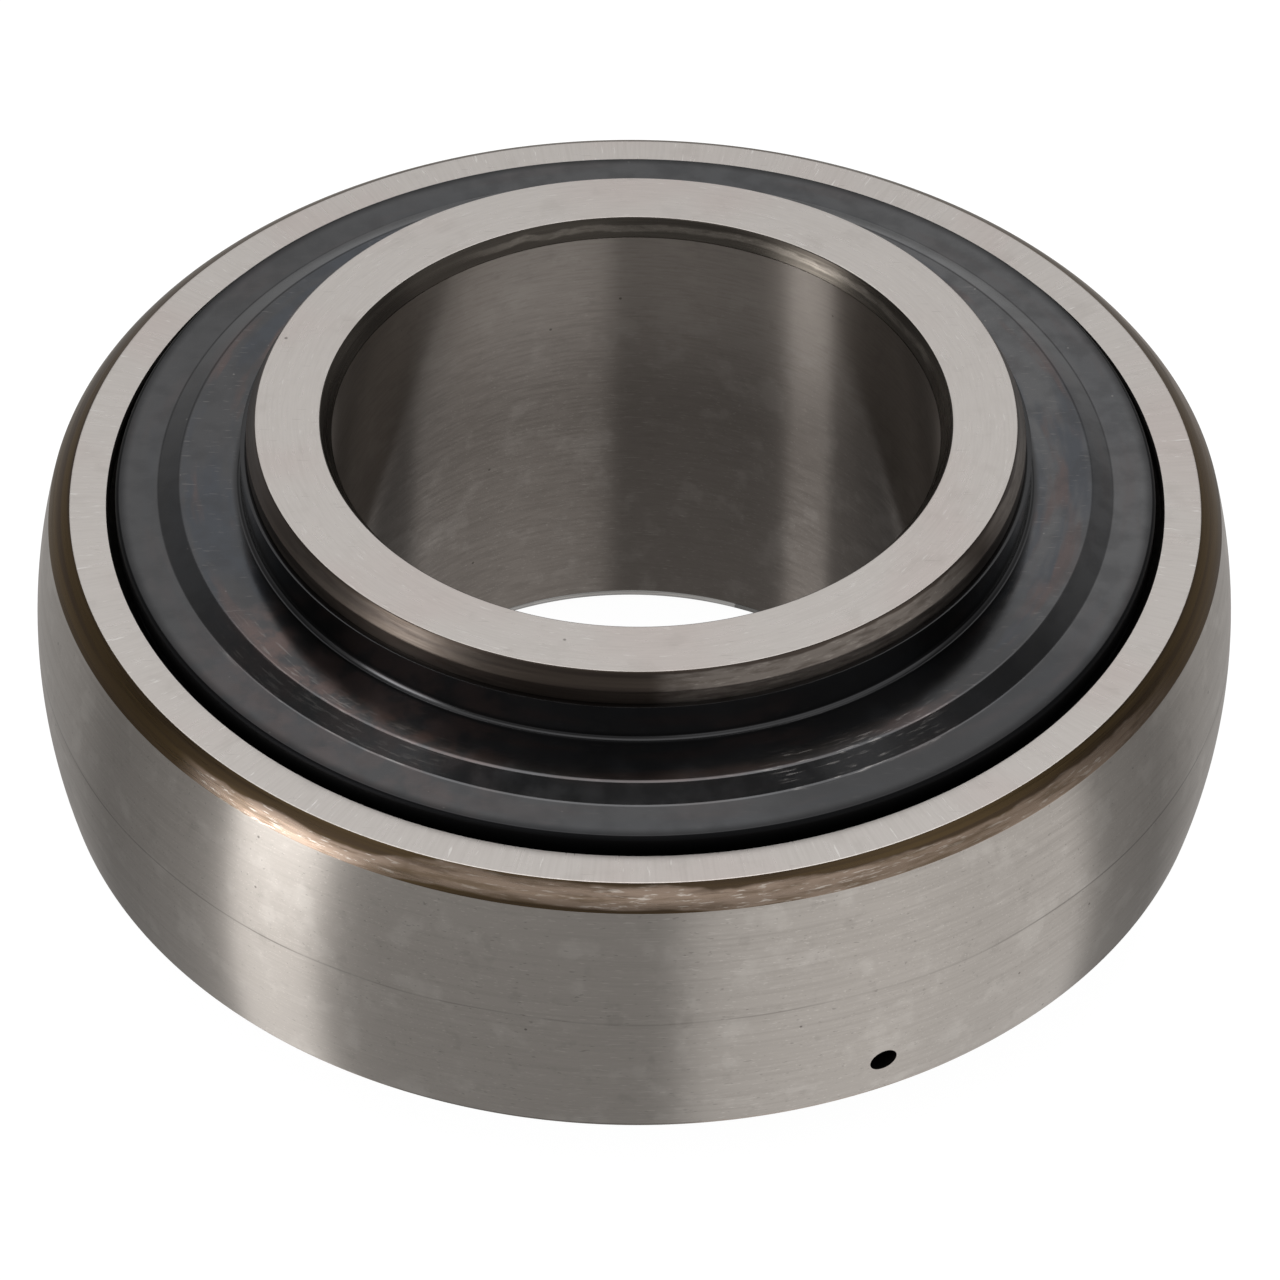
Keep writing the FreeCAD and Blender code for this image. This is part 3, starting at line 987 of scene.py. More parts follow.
@dataclass(frozen=True)
class BlackOxide:
    """Pressed sheet steel, blackened hot: glossy and near black, with faint temper tints on the disc.

    Attributes:
        name: The material's name.
        foot_radius: Radius inside which the collar and its foot are coloured darker.
        tint_radius: Radius outside which the tints are faint.
        rim_radius: Radius from which the rim is matt and painted dark as shade.
        colour: The oxide's colour.
        black: The colour of the collar and its foot.
        blue: The colour of its bluer patches.
        mauve: The colour of its browner patches.
        pale: The colour of the light painted on towards the back and the right.
        deep: The colour of the shade painted on at the front right, and of small uneven patches.
        tint: The colour of the brown patch.
        scratch: The colour of the scratches.
        scuff: The colour of the scuffs.
        dust: The colour of the dust.
        rim: The colour of the shade painted on the rim, by the gap to the outer ring.
        roughness: The shader's roughness.
        painted_light_side: Where light is painted on, towards the back and the right.
        painted_shade_side: Where shade is painted on, at the front right.
        tinted: Where the brown patch lies.
        scuffed: Where the step is scuffed.
        bluer: The bluer patches.
        browner: The browner patches.
        uneven: The small uneven patches.
        scratches: The scratches.
        scratched: How much of them shows.
        patch: The blotches of the brown patch.
        scuffs: The scuffs.
        scuff_starts: From the tint's radius, where the scuffs start to show and where they are whole.
        scuff_ends: From the tint's radius, where they are gone again and where they are still whole.
        specks: The dust.
        mottle: The roughness, with its lowest value as rest and its highest as share.
        matt: The roughness of the rim and the scuffs.
        waves: The skin's faint waves.
        wave_depth: How deep they are, in millimetres.
        wave_strength: How much of that shows.
        tint_fade: How far the tints fade either way of their radius.
        tint_rest: How much of the tints shows outside it.
        margin: How far inside the rim the band of painted shade starts.
        margin_share: How much of the painted shade shows at that band's outer end, at the rim's radius.
        rim_reach: How far inside and outside its radius the rim starts and is whole.
        foot_fade: How far the collar's black fades either way of its radius.
    """

    name: str
    foot_radius: float
    tint_radius: float
    rim_radius: float
    colour: str = "#5C5C5D"
    black: str = "#464647"
    blue: str = "#56595E"
    mauve: str = "#6A5F5D"
    pale: str = "#6B6B6C"
    deep: str = "#4E4E4F"
    tint: str = "#7A6A66"
    scratch: str = "#8E8A88"
    scuff: str = "#A8A4A1"
    dust: str = "#A5A29E"
    rim: str = "#1C1C1D"
    roughness: float = 0.13
    painted_light_side: Stretch = Stretch(138.0, 95.0, 1.0)
    painted_shade_side: Stretch = Stretch(38.0, 26.0, 0.7)
    tinted: Stretch = Stretch(-38.0, 26.0, 1.0)
    scuffed: tuple[Stretch, ...] = (Stretch(28.0, 15.0, 0.55), Stretch(-40.0, 22.0, 0.35))
    bluer: Pattern = Pattern(22.0, 3.5, seed=0.9, detail=3.0, low=0.46, high=0.64, share=0.9)
    browner: Pattern = Pattern(14.0, 2.5, seed=6.2, detail=3.0, low=0.5, high=0.66, share=0.85)
    uneven: Pattern = Pattern(2.6, seed=2.7, detail=5.0, low=0.4, high=0.68, share=0.4)
    scratches: Scratches = Scratches(((30.0, 1.3), (85.0, 1.7), (140.0, 2.3)), 1.8, 0.2, 0.71)
    scratched: float = 0.35
    patch: Pattern = Pattern(3.0, seed=3.3, detail=4.0, low=0.4, high=0.6, share=0.8)
    scuffs: Pattern = Pattern(2.4, 0.25, seed=9.3, detail=4.0, low=0.54, high=0.66)
    scuff_starts: tuple[float, float] = (-3.2, -1.6)
    scuff_ends: tuple[float, float] = (2.8, 2.0)
    specks: Specks = Specks(3.0, 0.14, 0.5, 0.45)
    mottle: Pattern = Pattern(3.0, seed=0.8, detail=5.0, low=0.4, high=0.7, share=0.21, rest=0.16)
    matt: float = 0.5
    waves: Pattern = Pattern(9.0, seed=1.4, detail=1.0)
    wave_depth: float = 0.015
    wave_strength: float = 0.3
    tint_fade: float = 0.6
    tint_rest: float = 0.25
    margin: float = 1.1
    margin_share: float = 0.6
    rim_reach: tuple[float, float] = (0.15, 0.05)
    foot_fade: float = 0.3

    def material(self) -> Material:
        """Makes the material.

        Returns:
            The material, with scratches and scuffs drawn 0.2 mm wide or more so that they show.
        """
        graph = Graph(self.name, self.colour, 1.0, self.roughness)
        tint, rim_start = self.tint_radius, self.rim_radius
        inside = graph.rings(tint + self.tint_fade, tint - self.tint_fade, self.tint_rest)
        # Painted light towards the back right and painted shade at the front right, laid into the oxide's
        # colour.
        graph.coat(graph.shares((self.painted_light_side,)), self.pale)
        graph.coat(graph.shares((self.painted_shade_side,)), self.deep)
        graph.coat(graph.times(graph.show(self.bluer), inside), self.blue)
        graph.coat(graph.times(graph.show(self.browner), inside), self.mauve)
        graph.coat(graph.show(self.uneven), self.deep)
        for scratch in graph.scratches(self.scratches):
            graph.coat(graph.times(scratch, inside), self.scratch, self.scratched)
        tinted = graph.times(graph.show(self.patch), inside)
        graph.coat(graph.times(tinted, graph.shares((self.tinted,))), self.tint)
        scuffs = self.step_scuffs(graph)
        graph.coat(scuffs, self.scuff)
        graph.speckle(self.specks, self.dust)
        # Painted shade: the rim and a band inside it are coloured near black, like the shade in the gap to
        # the outer ring.
        graph.coat(graph.rings(rim_start - self.margin, rim_start, 0.0, self.margin_share), self.rim)
        rim = graph.rings(rim_start - self.rim_reach[0], rim_start + self.rim_reach[1])
        graph.coat(rim, self.rim)
        foot = graph.rings(self.foot_radius + self.foot_fade, self.foot_radius - self.foot_fade)
        graph.coat(foot, self.black)
        matt = graph.larger(graph.times(rim, self.matt), graph.times(scuffs, self.matt))
        graph.feed("Roughness", graph.larger(graph.show(self.mottle), matt))
        graph.bump(graph.noise(self.waves), self.wave_depth, self.wave_strength)
        return graph.finished()

    def step_scuffs(self, graph: Graph) -> NodeSocket:
        """Draws short scuffs on the step between the disc and the flat ring.

        Args:
            graph: The material's graph.

        Returns:
            How much of the scuffs shows.
        """
        scuffs = graph.times(graph.show(self.scuffs), graph.shares(self.scuffed))
        outward = graph.rings(*(self.tint_radius + away for away in self.scuff_starts))
        inward = graph.rings(*(self.tint_radius + away for away in self.scuff_ends))
        return graph.times(scuffs, graph.times(outward, inward))


@dataclass(frozen=True)
class PlainMetal:
    """Bright steel of a pressed, headed or rolled piece inside the bearing.

    Attributes:
        name: The material's name.
        colour: The steel's colour.
        shade: The colour of its dull patches.
        roughness: The shader's roughness.
        grain_size: How large a patch is, in millimetres.
        rougher: How many times rougher the patches are.
        rough_reach: How high the patches' noise is where the surface is smoothest and where it is roughest.
    """

    name: str
    colour: str
    shade: str
    roughness: float
    grain_size: float
    rougher: float = 1.4
    rough_reach: tuple[float, float] = (0.3, 0.7)

    def material(self) -> Material:
        """Makes the material.

        Returns:
            The material, with dull patches of the press or the tumbler.
        """
        graph = Graph(self.name, self.colour, 1.0, self.roughness)
        patches = Pattern(self.grain_size, seed=0.2, detail=3.0, low=0.4, high=0.7)
        noise = graph.noise(patches)
        graph.coat(graph.show(patches, noise), self.shade)
        most = self.roughness * self.rougher
        graph.feed("Roughness", graph.span(noise, *self.rough_reach, self.roughness, most))
        return graph.finished()


@dataclass(frozen=True)
class SealRubber:
    """Nitrile rubber, moulded and bonded to sheet steel: black, matt and faintly grained.

    Attributes:
        name: The material's name.
        colour: The rubber's colour.
        bloom: The colour of its faint bloom.
        roughness: The shader's roughness.
        clouds: The bloom's clouds.
        grain: The mould's grain.
        grain_depth: How deep the grain is, in millimetres.
        grain_strength: How much of that shows.
    """

    name: str = "moulded_nitrile_rubber"
    colour: str = "#161618"
    bloom: str = "#2A2A2C"
    roughness: float = 0.6
    clouds: Pattern = Pattern(5.0, low=0.45, high=0.75)
    grain: Pattern = Pattern(0.2, seed=0.1)
    grain_depth: float = 0.01
    grain_strength: float = 0.5

    def material(self) -> Material:
        """Makes the material.

        Returns:
            The material, with a spark-eroded mould's grain of 0.2 mm.
        """
        graph = Graph(self.name, self.colour, 0.0, self.roughness)
        graph.coat(graph.show(self.clouds), self.bloom)
        graph.bump(graph.noise(self.grain), self.grain_depth, self.grain_strength)
        return graph.finished()


@dataclass
class OuterRing:
    """The ring with the spherical outside, both seal seats and the relubrication hole.

    Attributes:
        sphere_radius: Radius of the spherical outside.
        width: Width of the ring.
        edge_radial: How far the turned edge reaches over the face.
        edge_axial: How far it reaches over the sphere.
        edge_swell: How far it bows out.
        land_radius: Radius of the land beside the raceway.
        race_depth: How deep the raceway lies in the land.
        race_radius: Radius of the raceway's groove.
        seat_depth: How far below the face the seal's seat lies.
        groove_radius: Radius of the groove that holds the seal's bead.
        groove_width: Width of that groove.
        lip_radius: Radius of the lip over the groove.
        lip_width: Width of that lip.
        recess_radius: Radius of the recess that the flinger turns in.
        recess_taper: Height of the taper at the recess's floor.
        face_edge: Size of the chamfer between the recess and the face.
        rounding: Setback of the rounding of the turned edge's corners.
        hole_diameter: Diameter of the relubrication hole.
        hole_height: Height of the hole.
        hole_azimuth: Where the hole lies, in degrees from -Y towards +X.
        hole_sides: How many sides the hole is drawn with.
        line_height: Height of the line that a housing left on the sphere.
        scuffed: How far above the edge's lower corner and below its upper one the scuffs start.
        rubs: Where the edge is rubbed.
        sphere_reach: How far inside the sphere a face still counts as part of it, and how far it ends
            short of the turned edge.
        face_reach: How far below the ring's face one still counts as part of it.
        edge_reach: How far beside the turned edge one still counts as part of it.
    """

    sphere_radius: float
    width: float
    edge_radial: float = 2.2
    edge_axial: float = 1.9
    edge_swell: float = 0.22
    land_radius: float = 49.3845
    race_depth: float = 3.0
    race_radius: float = 8.8346
    seat_depth: float = 4.5
    groove_radius: float = 51.9845
    groove_width: float = 1.4
    lip_radius: float = 51.2845
    lip_width: float = 0.8
    recess_radius: float = 52.3345
    recess_taper: float = 0.7
    face_edge: float = 0.2
    rounding: float = 0.09
    hole_diameter: float = 2.8
    hole_height: float = -9.35
    hole_azimuth: float = 24.3
    hole_sides: int = 48
    line_height: float = 1.2
    scuffed: tuple[float, float] = (-0.3, 0.75)
    rubs: tuple[Stretch, ...] = (
        Stretch(-34.0, 15.0, 1.0), Stretch(-8.0, 18.0, 0.68, 0.65), Stretch(10.0, 20.0, 0.9, 0.2),
        Stretch(30.0, 36.0, 0.75), Stretch(150.0, 60.0, 0.5),
    )
    sphere_reach: tuple[float, float] = (0.06, 0.02)
    face_reach: float = 0.03
    edge_reach: float = 0.1

    def __post_init__(self) -> None:
        """Works out the height of the face and the place of the sphere's upper edge."""
        self.face = self.width / 2
        self.sphere_edge = self.face - self.edge_axial
        self.edge_radius = math.sqrt(self.sphere_radius ** 2 - self.sphere_edge ** 2)

    def half_section(self) -> list[Corner]:
        """Works out the upper half of the section, from the sphere to the raceway.

        Returns:
            The corners, from the sphere's upper edge inwards and down.
        """
        face = self.face
        seat = face - self.seat_depth
        groove_top = seat + self.groove_width
        recess_floor = groove_top + self.lip_width
        race_edge = math.sqrt(self.race_radius ** 2 - (self.race_radius - self.race_depth) ** 2)
        bow = -(self.sphere_radius - self.edge_radius)
        return [
            Corner(self.edge_radius, self.sphere_edge, self.rounding, bow),
            Corner(self.edge_radius - self.edge_radial, face, self.rounding, -self.edge_swell),
            Corner(self.recess_radius + self.face_edge, face),
            Corner(self.recess_radius, face - self.face_edge),
            Corner(self.recess_radius, recess_floor + self.recess_taper),
            Corner(self.lip_radius, recess_floor),
            Corner(self.lip_radius, groove_top),
            Corner(self.groove_radius, groove_top),
            Corner(self.groove_radius, seat),
            Corner(self.land_radius, seat),
            Corner(self.land_radius, race_edge),
        ]

    def build(self) -> Object:
        """Turns the ring and drills the hole.

        Returns:
            The finished piece.
        """
        upper = self.half_section()
        lower = mirrored(upper)
        lower[0] = Corner(lower[0].radius, lower[0].height, 0.0, -self.race_depth)
        lower[-1] = Corner(lower[-1].radius, lower[-1].height, self.rounding, -self.edge_swell)
        ring = Lathe("outer_ring_turned", upper + lower).spin()
        self.drill(ring)
        smooth(ring)
        return ring

    def drill(self, ring: Object) -> None:
        """Cuts the relubrication hole.

        Args:
            ring: The turned ring.
        """
        turn = math.radians(self.hole_azimuth)
        out = Vector((math.sin(turn), -math.cos(turn), 0))
        middle = (self.sphere_radius + self.land_radius) / 2
        depth = (self.sphere_radius - self.land_radius) * 2
        select_only()
        bpy.ops.mesh.primitive_cylinder_add(
            vertices=self.hole_sides, radius=self.hole_diameter / 2 * MM, depth=depth * MM,
            location=out * middle * MM + Vector((0, 0, self.hole_height * MM)),
            rotation=out.to_track_quat("Z", "Y").to_euler(),
        )
        drill = bpy.context.object
        apply_modifier(ring, "BOOLEAN", {"operation": "DIFFERENCE", "solver": "EXACT", "object": drill})
        bpy.data.objects.remove(drill)

    def dress(self, ring: Object) -> None:
        """Gives the sphere, the faces, the edges and the inside their finishes.

        Args:
            ring: The finished piece.
        """
        above, below = self.scuffed
        sphere = GroundWall(
            "round_ground_bearing_steel", colour="#B9B2AB", shade="#9B948D",
            grooves=Pattern(12.0, 0.3, low=0.4, high=0.75, share=0.2), handled=0.3, scratched=0.3,
            line_height=self.line_height,
        ).material()
        faces = GroundFace("face_ground_bearing_steel_radial", Lay.ACROSS, marks=0.5).material()
        edge = ScaledEdge(
            "hardening_scale_on_turned_edge", dark="#524436", golden="#63523A", worn="#A08D7E",
            bare="#E6DED4", roughness=0.32, band=(self.sphere_edge + above, self.face - below),
            rubs=self.rubs,
        ).material()
        seats = PlainMetal(
            "turned_seal_seat_steel", "#4A4744", "#2F2D2B", roughness=0.4, grain_size=2.0,
        ).material()
        sphere_limit = self.sphere_radius - self.sphere_reach[0]
        sphere_end = self.sphere_edge - self.sphere_reach[1]
        face_start = self.face - self.face_reach
        edge_inside = self.edge_radius - self.edge_radial - self.edge_reach
        edge_start = self.sphere_edge - self.edge_reach

        def choose(radius: float, height: float) -> Material:
            """Finds a face's finish by its place.

            Args:
                radius: The face's distance from the axis.
                height: Its height.

            Returns:
                The finish.
            """
            if math.hypot(radius, height) > sphere_limit and abs(height) < sphere_end:
                return sphere
            if abs(height) > face_start:
                return faces
            if radius > edge_inside and abs(height) > edge_start:
                return edge
            return seats

        dress(ring, [sphere, faces, edge, seats], choose)


@dataclass
class InnerRing:
    """The wide ring with the plain bore.

    Attributes:
        width: Width of the ring.
        bore_radius: Radius of the bore.
        bore_edge_radial: How far the bore's turned edge reaches over the face.
        bore_edge_axial: How far it reaches into the bore.
        land_radius: Radius of the outside beside the raceway.
        edge_radial: How far the outer turned edge reaches over the face.
        edge_axial: How far it reaches over the outside.
        race_depth: How deep the raceway lies in the outside.
        race_radius: Radius of the raceway's groove.
        rounding: Setback of the rounding of the edges' corners.
        worn_from: Height from which handling has rubbed the outside.
        worn_margin: How far below the face the rubbed band of the outside ends.
        scuff_margin: How far inside the corners of the bore's edge its scuffed band lies.
        land_rubs: Where the outside is rubbed.
        bore_rubs: Where the bore's edge is rubbed.
        reach: How far beside the ring's face or the bore a face of the mesh still counts as part of it.
        edge_reach: How far beside the bore's edge one still counts as part of it.
    """

    width: float
    bore_radius: float = 30.0
    bore_edge_radial: float = 1.15
    bore_edge_axial: float = 1.7
    land_radius: float = 38.4655
    edge_radial: float = 0.9
    edge_axial: float = 1.7
    race_depth: float = 2.85
    race_radius: float = 8.6679
    rounding: float = 0.12
    worn_from: float = 21.6
    worn_margin: float = 0.3
    scuff_margin: float = 0.6
    land_rubs: tuple[Stretch, ...] = (
        Stretch(-40.0, 26.0, 0.15), Stretch(14.0, 12.0, 0.6), Stretch(38.0, 24.0, 0.6),
        Stretch(85.0, 25.0, 0.4),
    )
    bore_rubs: tuple[Stretch, ...] = (Stretch(178.0, 40.0, 0.55), Stretch(128.0, 24.0, 0.5))
    reach: float = 0.02
    edge_reach: float = 0.1

    def build(self) -> Object:
        """Turns the ring.

        Returns:
            The finished piece.
        """
        face = self.width / 2
        race_edge = math.sqrt(self.race_radius ** 2 - (self.race_radius - self.race_depth) ** 2)
        upper = [
            Corner(self.land_radius, race_edge, 0.0, self.race_depth),
            Corner(self.land_radius, face - self.edge_axial, self.rounding),
            Corner(self.land_radius - self.edge_radial, face, self.rounding),
            Corner(self.bore_radius + self.bore_edge_radial, face, self.rounding),
            Corner(self.bore_radius, face - self.bore_edge_axial, self.rounding),
        ]
        lower = mirrored(upper)
        ring = Lathe("inner_ring_turned", upper + lower).spin()
        smooth(ring)
        return ring

    def dress(self, ring: Object) -> None:
        """Gives the bore, the faces and the turned outside their finishes.

        Args:
            ring: The finished piece.
        """
        face = self.width / 2
        # Painted shade: the bore's colours are much darker than those of the same ground steel on the
        # sphere, so that the inside of the bore looks shaded.
        bore = GroundWall(
            "ground_bore_steel_painted_shade_and_highlight", colour="#7A736D", shade="#68615B",
            grooves=Pattern(5.0, 0.3, low=0.4, high=0.75, share=0.2), handled=0.08, scratched=0.08,
            # Painted highlight: paler towards the bore's upper mouth.
            painted_top_highlight="#A9A19A",
        ).material()
        faces = GroundFace("face_ground_bearing_steel_fine", Lay.AROUND, marks=0.3).material()
        land = ScaledEdge(
            "turned_land_steel", dark="#473F3A", golden="#564D46", worn="#8F8780", bare="#C9C1B8",
            roughness=0.34, band=(self.worn_from, face - self.worn_margin), rubs=self.land_rubs,
        ).material()
        scuffed = (face - self.bore_edge_axial + self.scuff_margin, face - self.scuff_margin)
        edge = ScaledEdge(
            "turned_bore_edge_steel", dark="#46413C", golden="#534E48", worn="#857E76", bare="#BBB4AC",
            roughness=0.3, band=scuffed, rubs=self.bore_rubs,
        ).material()
        face_start = face - self.reach
        bore_limit = self.bore_radius + self.reach
        edge_limit = self.bore_radius + self.bore_edge_radial + self.edge_reach

        def choose(radius: float, height: float) -> Material:
            """Finds a face's finish by its place.

            Args:
                radius: The face's distance from the axis.
                height: Its height.

            Returns:
                The finish.
            """
            if abs(height) > face_start:
                return faces
            if radius < bore_limit:
                return bore
            if radius < edge_limit:
                return edge
            return land

        dress(ring, [bore, faces, land, edge], choose)


@dataclass
class Flinger:
    """A pressed disc over a seal: collar on the inner ring, raised disc, step, flat ring and rim.

    Attributes:
        rim_radius: Radius of the rim's outside.
        collar_top: Height of the collar's edge.
        sheet: Thickness of the sheet.
        collar_radius: Radius of the collar's outside.
        disc_top: Height of the disc's top at the step.
        disc_dish: How much lower the disc lies at the collar.
        step_width: Width of the sloping step.
        step_drop: How far the step goes down.
        flat_width: Width of the flat ring outside the step.
        rim_drop: How much lower the flat ring lies at the rim.
        rim_length: Length of the rim.
        collar_bend: Radius of the bend between the collar and the disc.
        crown_bend: Radius of the bend at the step's top.
        step_bend: Radius of the bend at its foot.
        rim_bend: Radius of the bend between the flat ring and the rim.
        bend_segments: How many edges each bend gets.
        edge_rounding: Rounding of the sheet's cut edges.
        edge_segments: How many edges that rounding gets.
        edge_angle: The fold from which an edge counts as cut, in degrees.
        foot_width: Width of the blacker ring outside the collar's bend.
        matt_width: Width of the ring inside the rim's outside that is matt.
    """

    rim_radius: float
    collar_top: float
    sheet: float = 0.6
    collar_radius: float = 39.0655
    disc_top: float = 18.7
    disc_dish: float = 0.26
    step_width: float = 2.2
    step_drop: float = 1.1
    flat_width: float = 4.22
    rim_drop: float = 0.2
    rim_length: float = 2.3
    collar_bend: float = 0.55
    crown_bend: float = 0.8
    step_bend: float = 0.7
    rim_bend: float = 0.45
    bend_segments: int = 10
    edge_rounding: float = 0.1
    edge_segments: int = 2
    edge_angle: float = 60.0
    foot_width: float = 0.2
    # matt_width: Width of the ring inside the rim's outside that is matt and painted dark as shade.
    matt_width: float = 0.3

    def corners(self) -> list[Corner]:
        """Works out the corners of the sheet's outward surface, from the collar to the rim.

        Returns:
            The corners, each with the setback of its bend.
        """
        step = self.rim_radius - self.flat_width
        low = self.disc_top - self.step_drop
        points = [
            (self.collar_radius, self.collar_top),
            (self.collar_radius, self.disc_top - self.disc_dish),
            (step - self.step_width, self.disc_top),
            (step, low),
            (self.rim_radius, low - self.rim_drop),
            (self.rim_radius, low - self.rim_drop - self.rim_length),
        ]
        bends = [0.0, self.collar_bend, self.crown_bend, self.step_bend, self.rim_bend, 0.0]
        corners = [Corner(*points[0])]
        for k in range(1, len(points) - 1):
            before = math.atan2(points[k][1] - points[k - 1][1], points[k][0] - points[k - 1][0])
            after = math.atan2(points[k + 1][1] - points[k][1], points[k + 1][0] - points[k][0])
            corners.append(Corner(*points[k], bends[k] * math.tan(abs(after - before) / 2)))
        return corners + [Corner(*points[-1])]

    def build(self) -> Object:
        """Presses the upper flinger.

        Returns:
            The finished piece.
        """
        drawing = Lathe("flinger_upper_pressed", self.corners(), closed=False, segments=self.bend_segments)
        disc = drawing.spin()
        if sum(face.normal.z * face.area for face in disc.data.polygons) < 0:
            edit_all(disc)
            bpy.ops.mesh.flip_normals()
            bpy.ops.object.mode_set(mode="OBJECT")
        sheet = {"thickness": self.sheet * MM, "offset": -1.0, "use_even_offset": True}
        apply_modifier(disc, "SOLIDIFY", sheet)
        apply_modifier(disc, "BEVEL", {
            "width": self.edge_rounding * MM, "segments": self.edge_segments, "limit_method": "ANGLE",
            "angle_limit": math.radians(self.edge_angle),
        })
        smooth(disc)
        return disc

    def dress(self, disc: Object) -> None:
        """Gives the flinger its black oxide.

        Args:
            disc: The finished piece.
        """
        step = self.rim_radius - self.flat_width
        oxide = BlackOxide(
            "hot_blackened_sheet_steel", self.collar_radius + self.collar_bend + self.foot_width,
            step - self.step_width, self.rim_radius - self.matt_width,
        )
        paint(disc, [oxide.material()])

    def lower_copy(self, upper: Object) -> Object:
        """Copies the upper flinger to the lower side.

        Args:
            upper: The upper flinger.

        Returns:
            The lower flinger, with its own mesh.
        """
        lower = upper.copy()
        lower.data = upper.data.copy()
        lower.name = "flinger_lower_pressed"
        lower.data.name = lower.name
        bpy.context.scene.collection.objects.link(lower)
        edit_all(lower)
        bpy.ops.transform.resize(value=(1, 1, -1), center_override=(0, 0, 0))
        bpy.ops.mesh.flip_normals()
        bpy.ops.object.mode_set(mode="OBJECT")
        return lower


def dress_inner_works(nodes: dict[str, Object]) -> None:
    """Gives the CAD nodes between the rings their finishes.

    Args:
        nodes: The CAD nodes by name.
    """
    finishes = {
        "seal_insert": PlainMetal(
            "pressed_seal_insert_steel", "#8F8D8A", "#74716D", roughness=0.34, grain_size=4.0,
        ),
        "seal_rubber": SealRubber(),
        "cage_half": PlainMetal(
            "pressed_cage_strip_steel", "#A19D98", "#7D7974", roughness=0.3, grain_size=3.0,
        ),
        "cage_rivets": PlainMetal(
            "headed_rivet_steel", "#B0ACA7", "#8B8782", roughness=0.28, grain_size=1.2,
        ),
        "ball": PlainMetal(
            "lapped_ball_steel", "#D6D4D1", "#CBC8C4", roughness=0.06, grain_size=6.0,
        ),
    }
    materials = {start: finish.material() for start, finish in finishes.items()}
    for name, node in nodes.items():
        for start, material in materials.items():
            if name.startswith(start):
                paint(node, [material])
                LOG.info("dressed %s as %s", name, material.name)


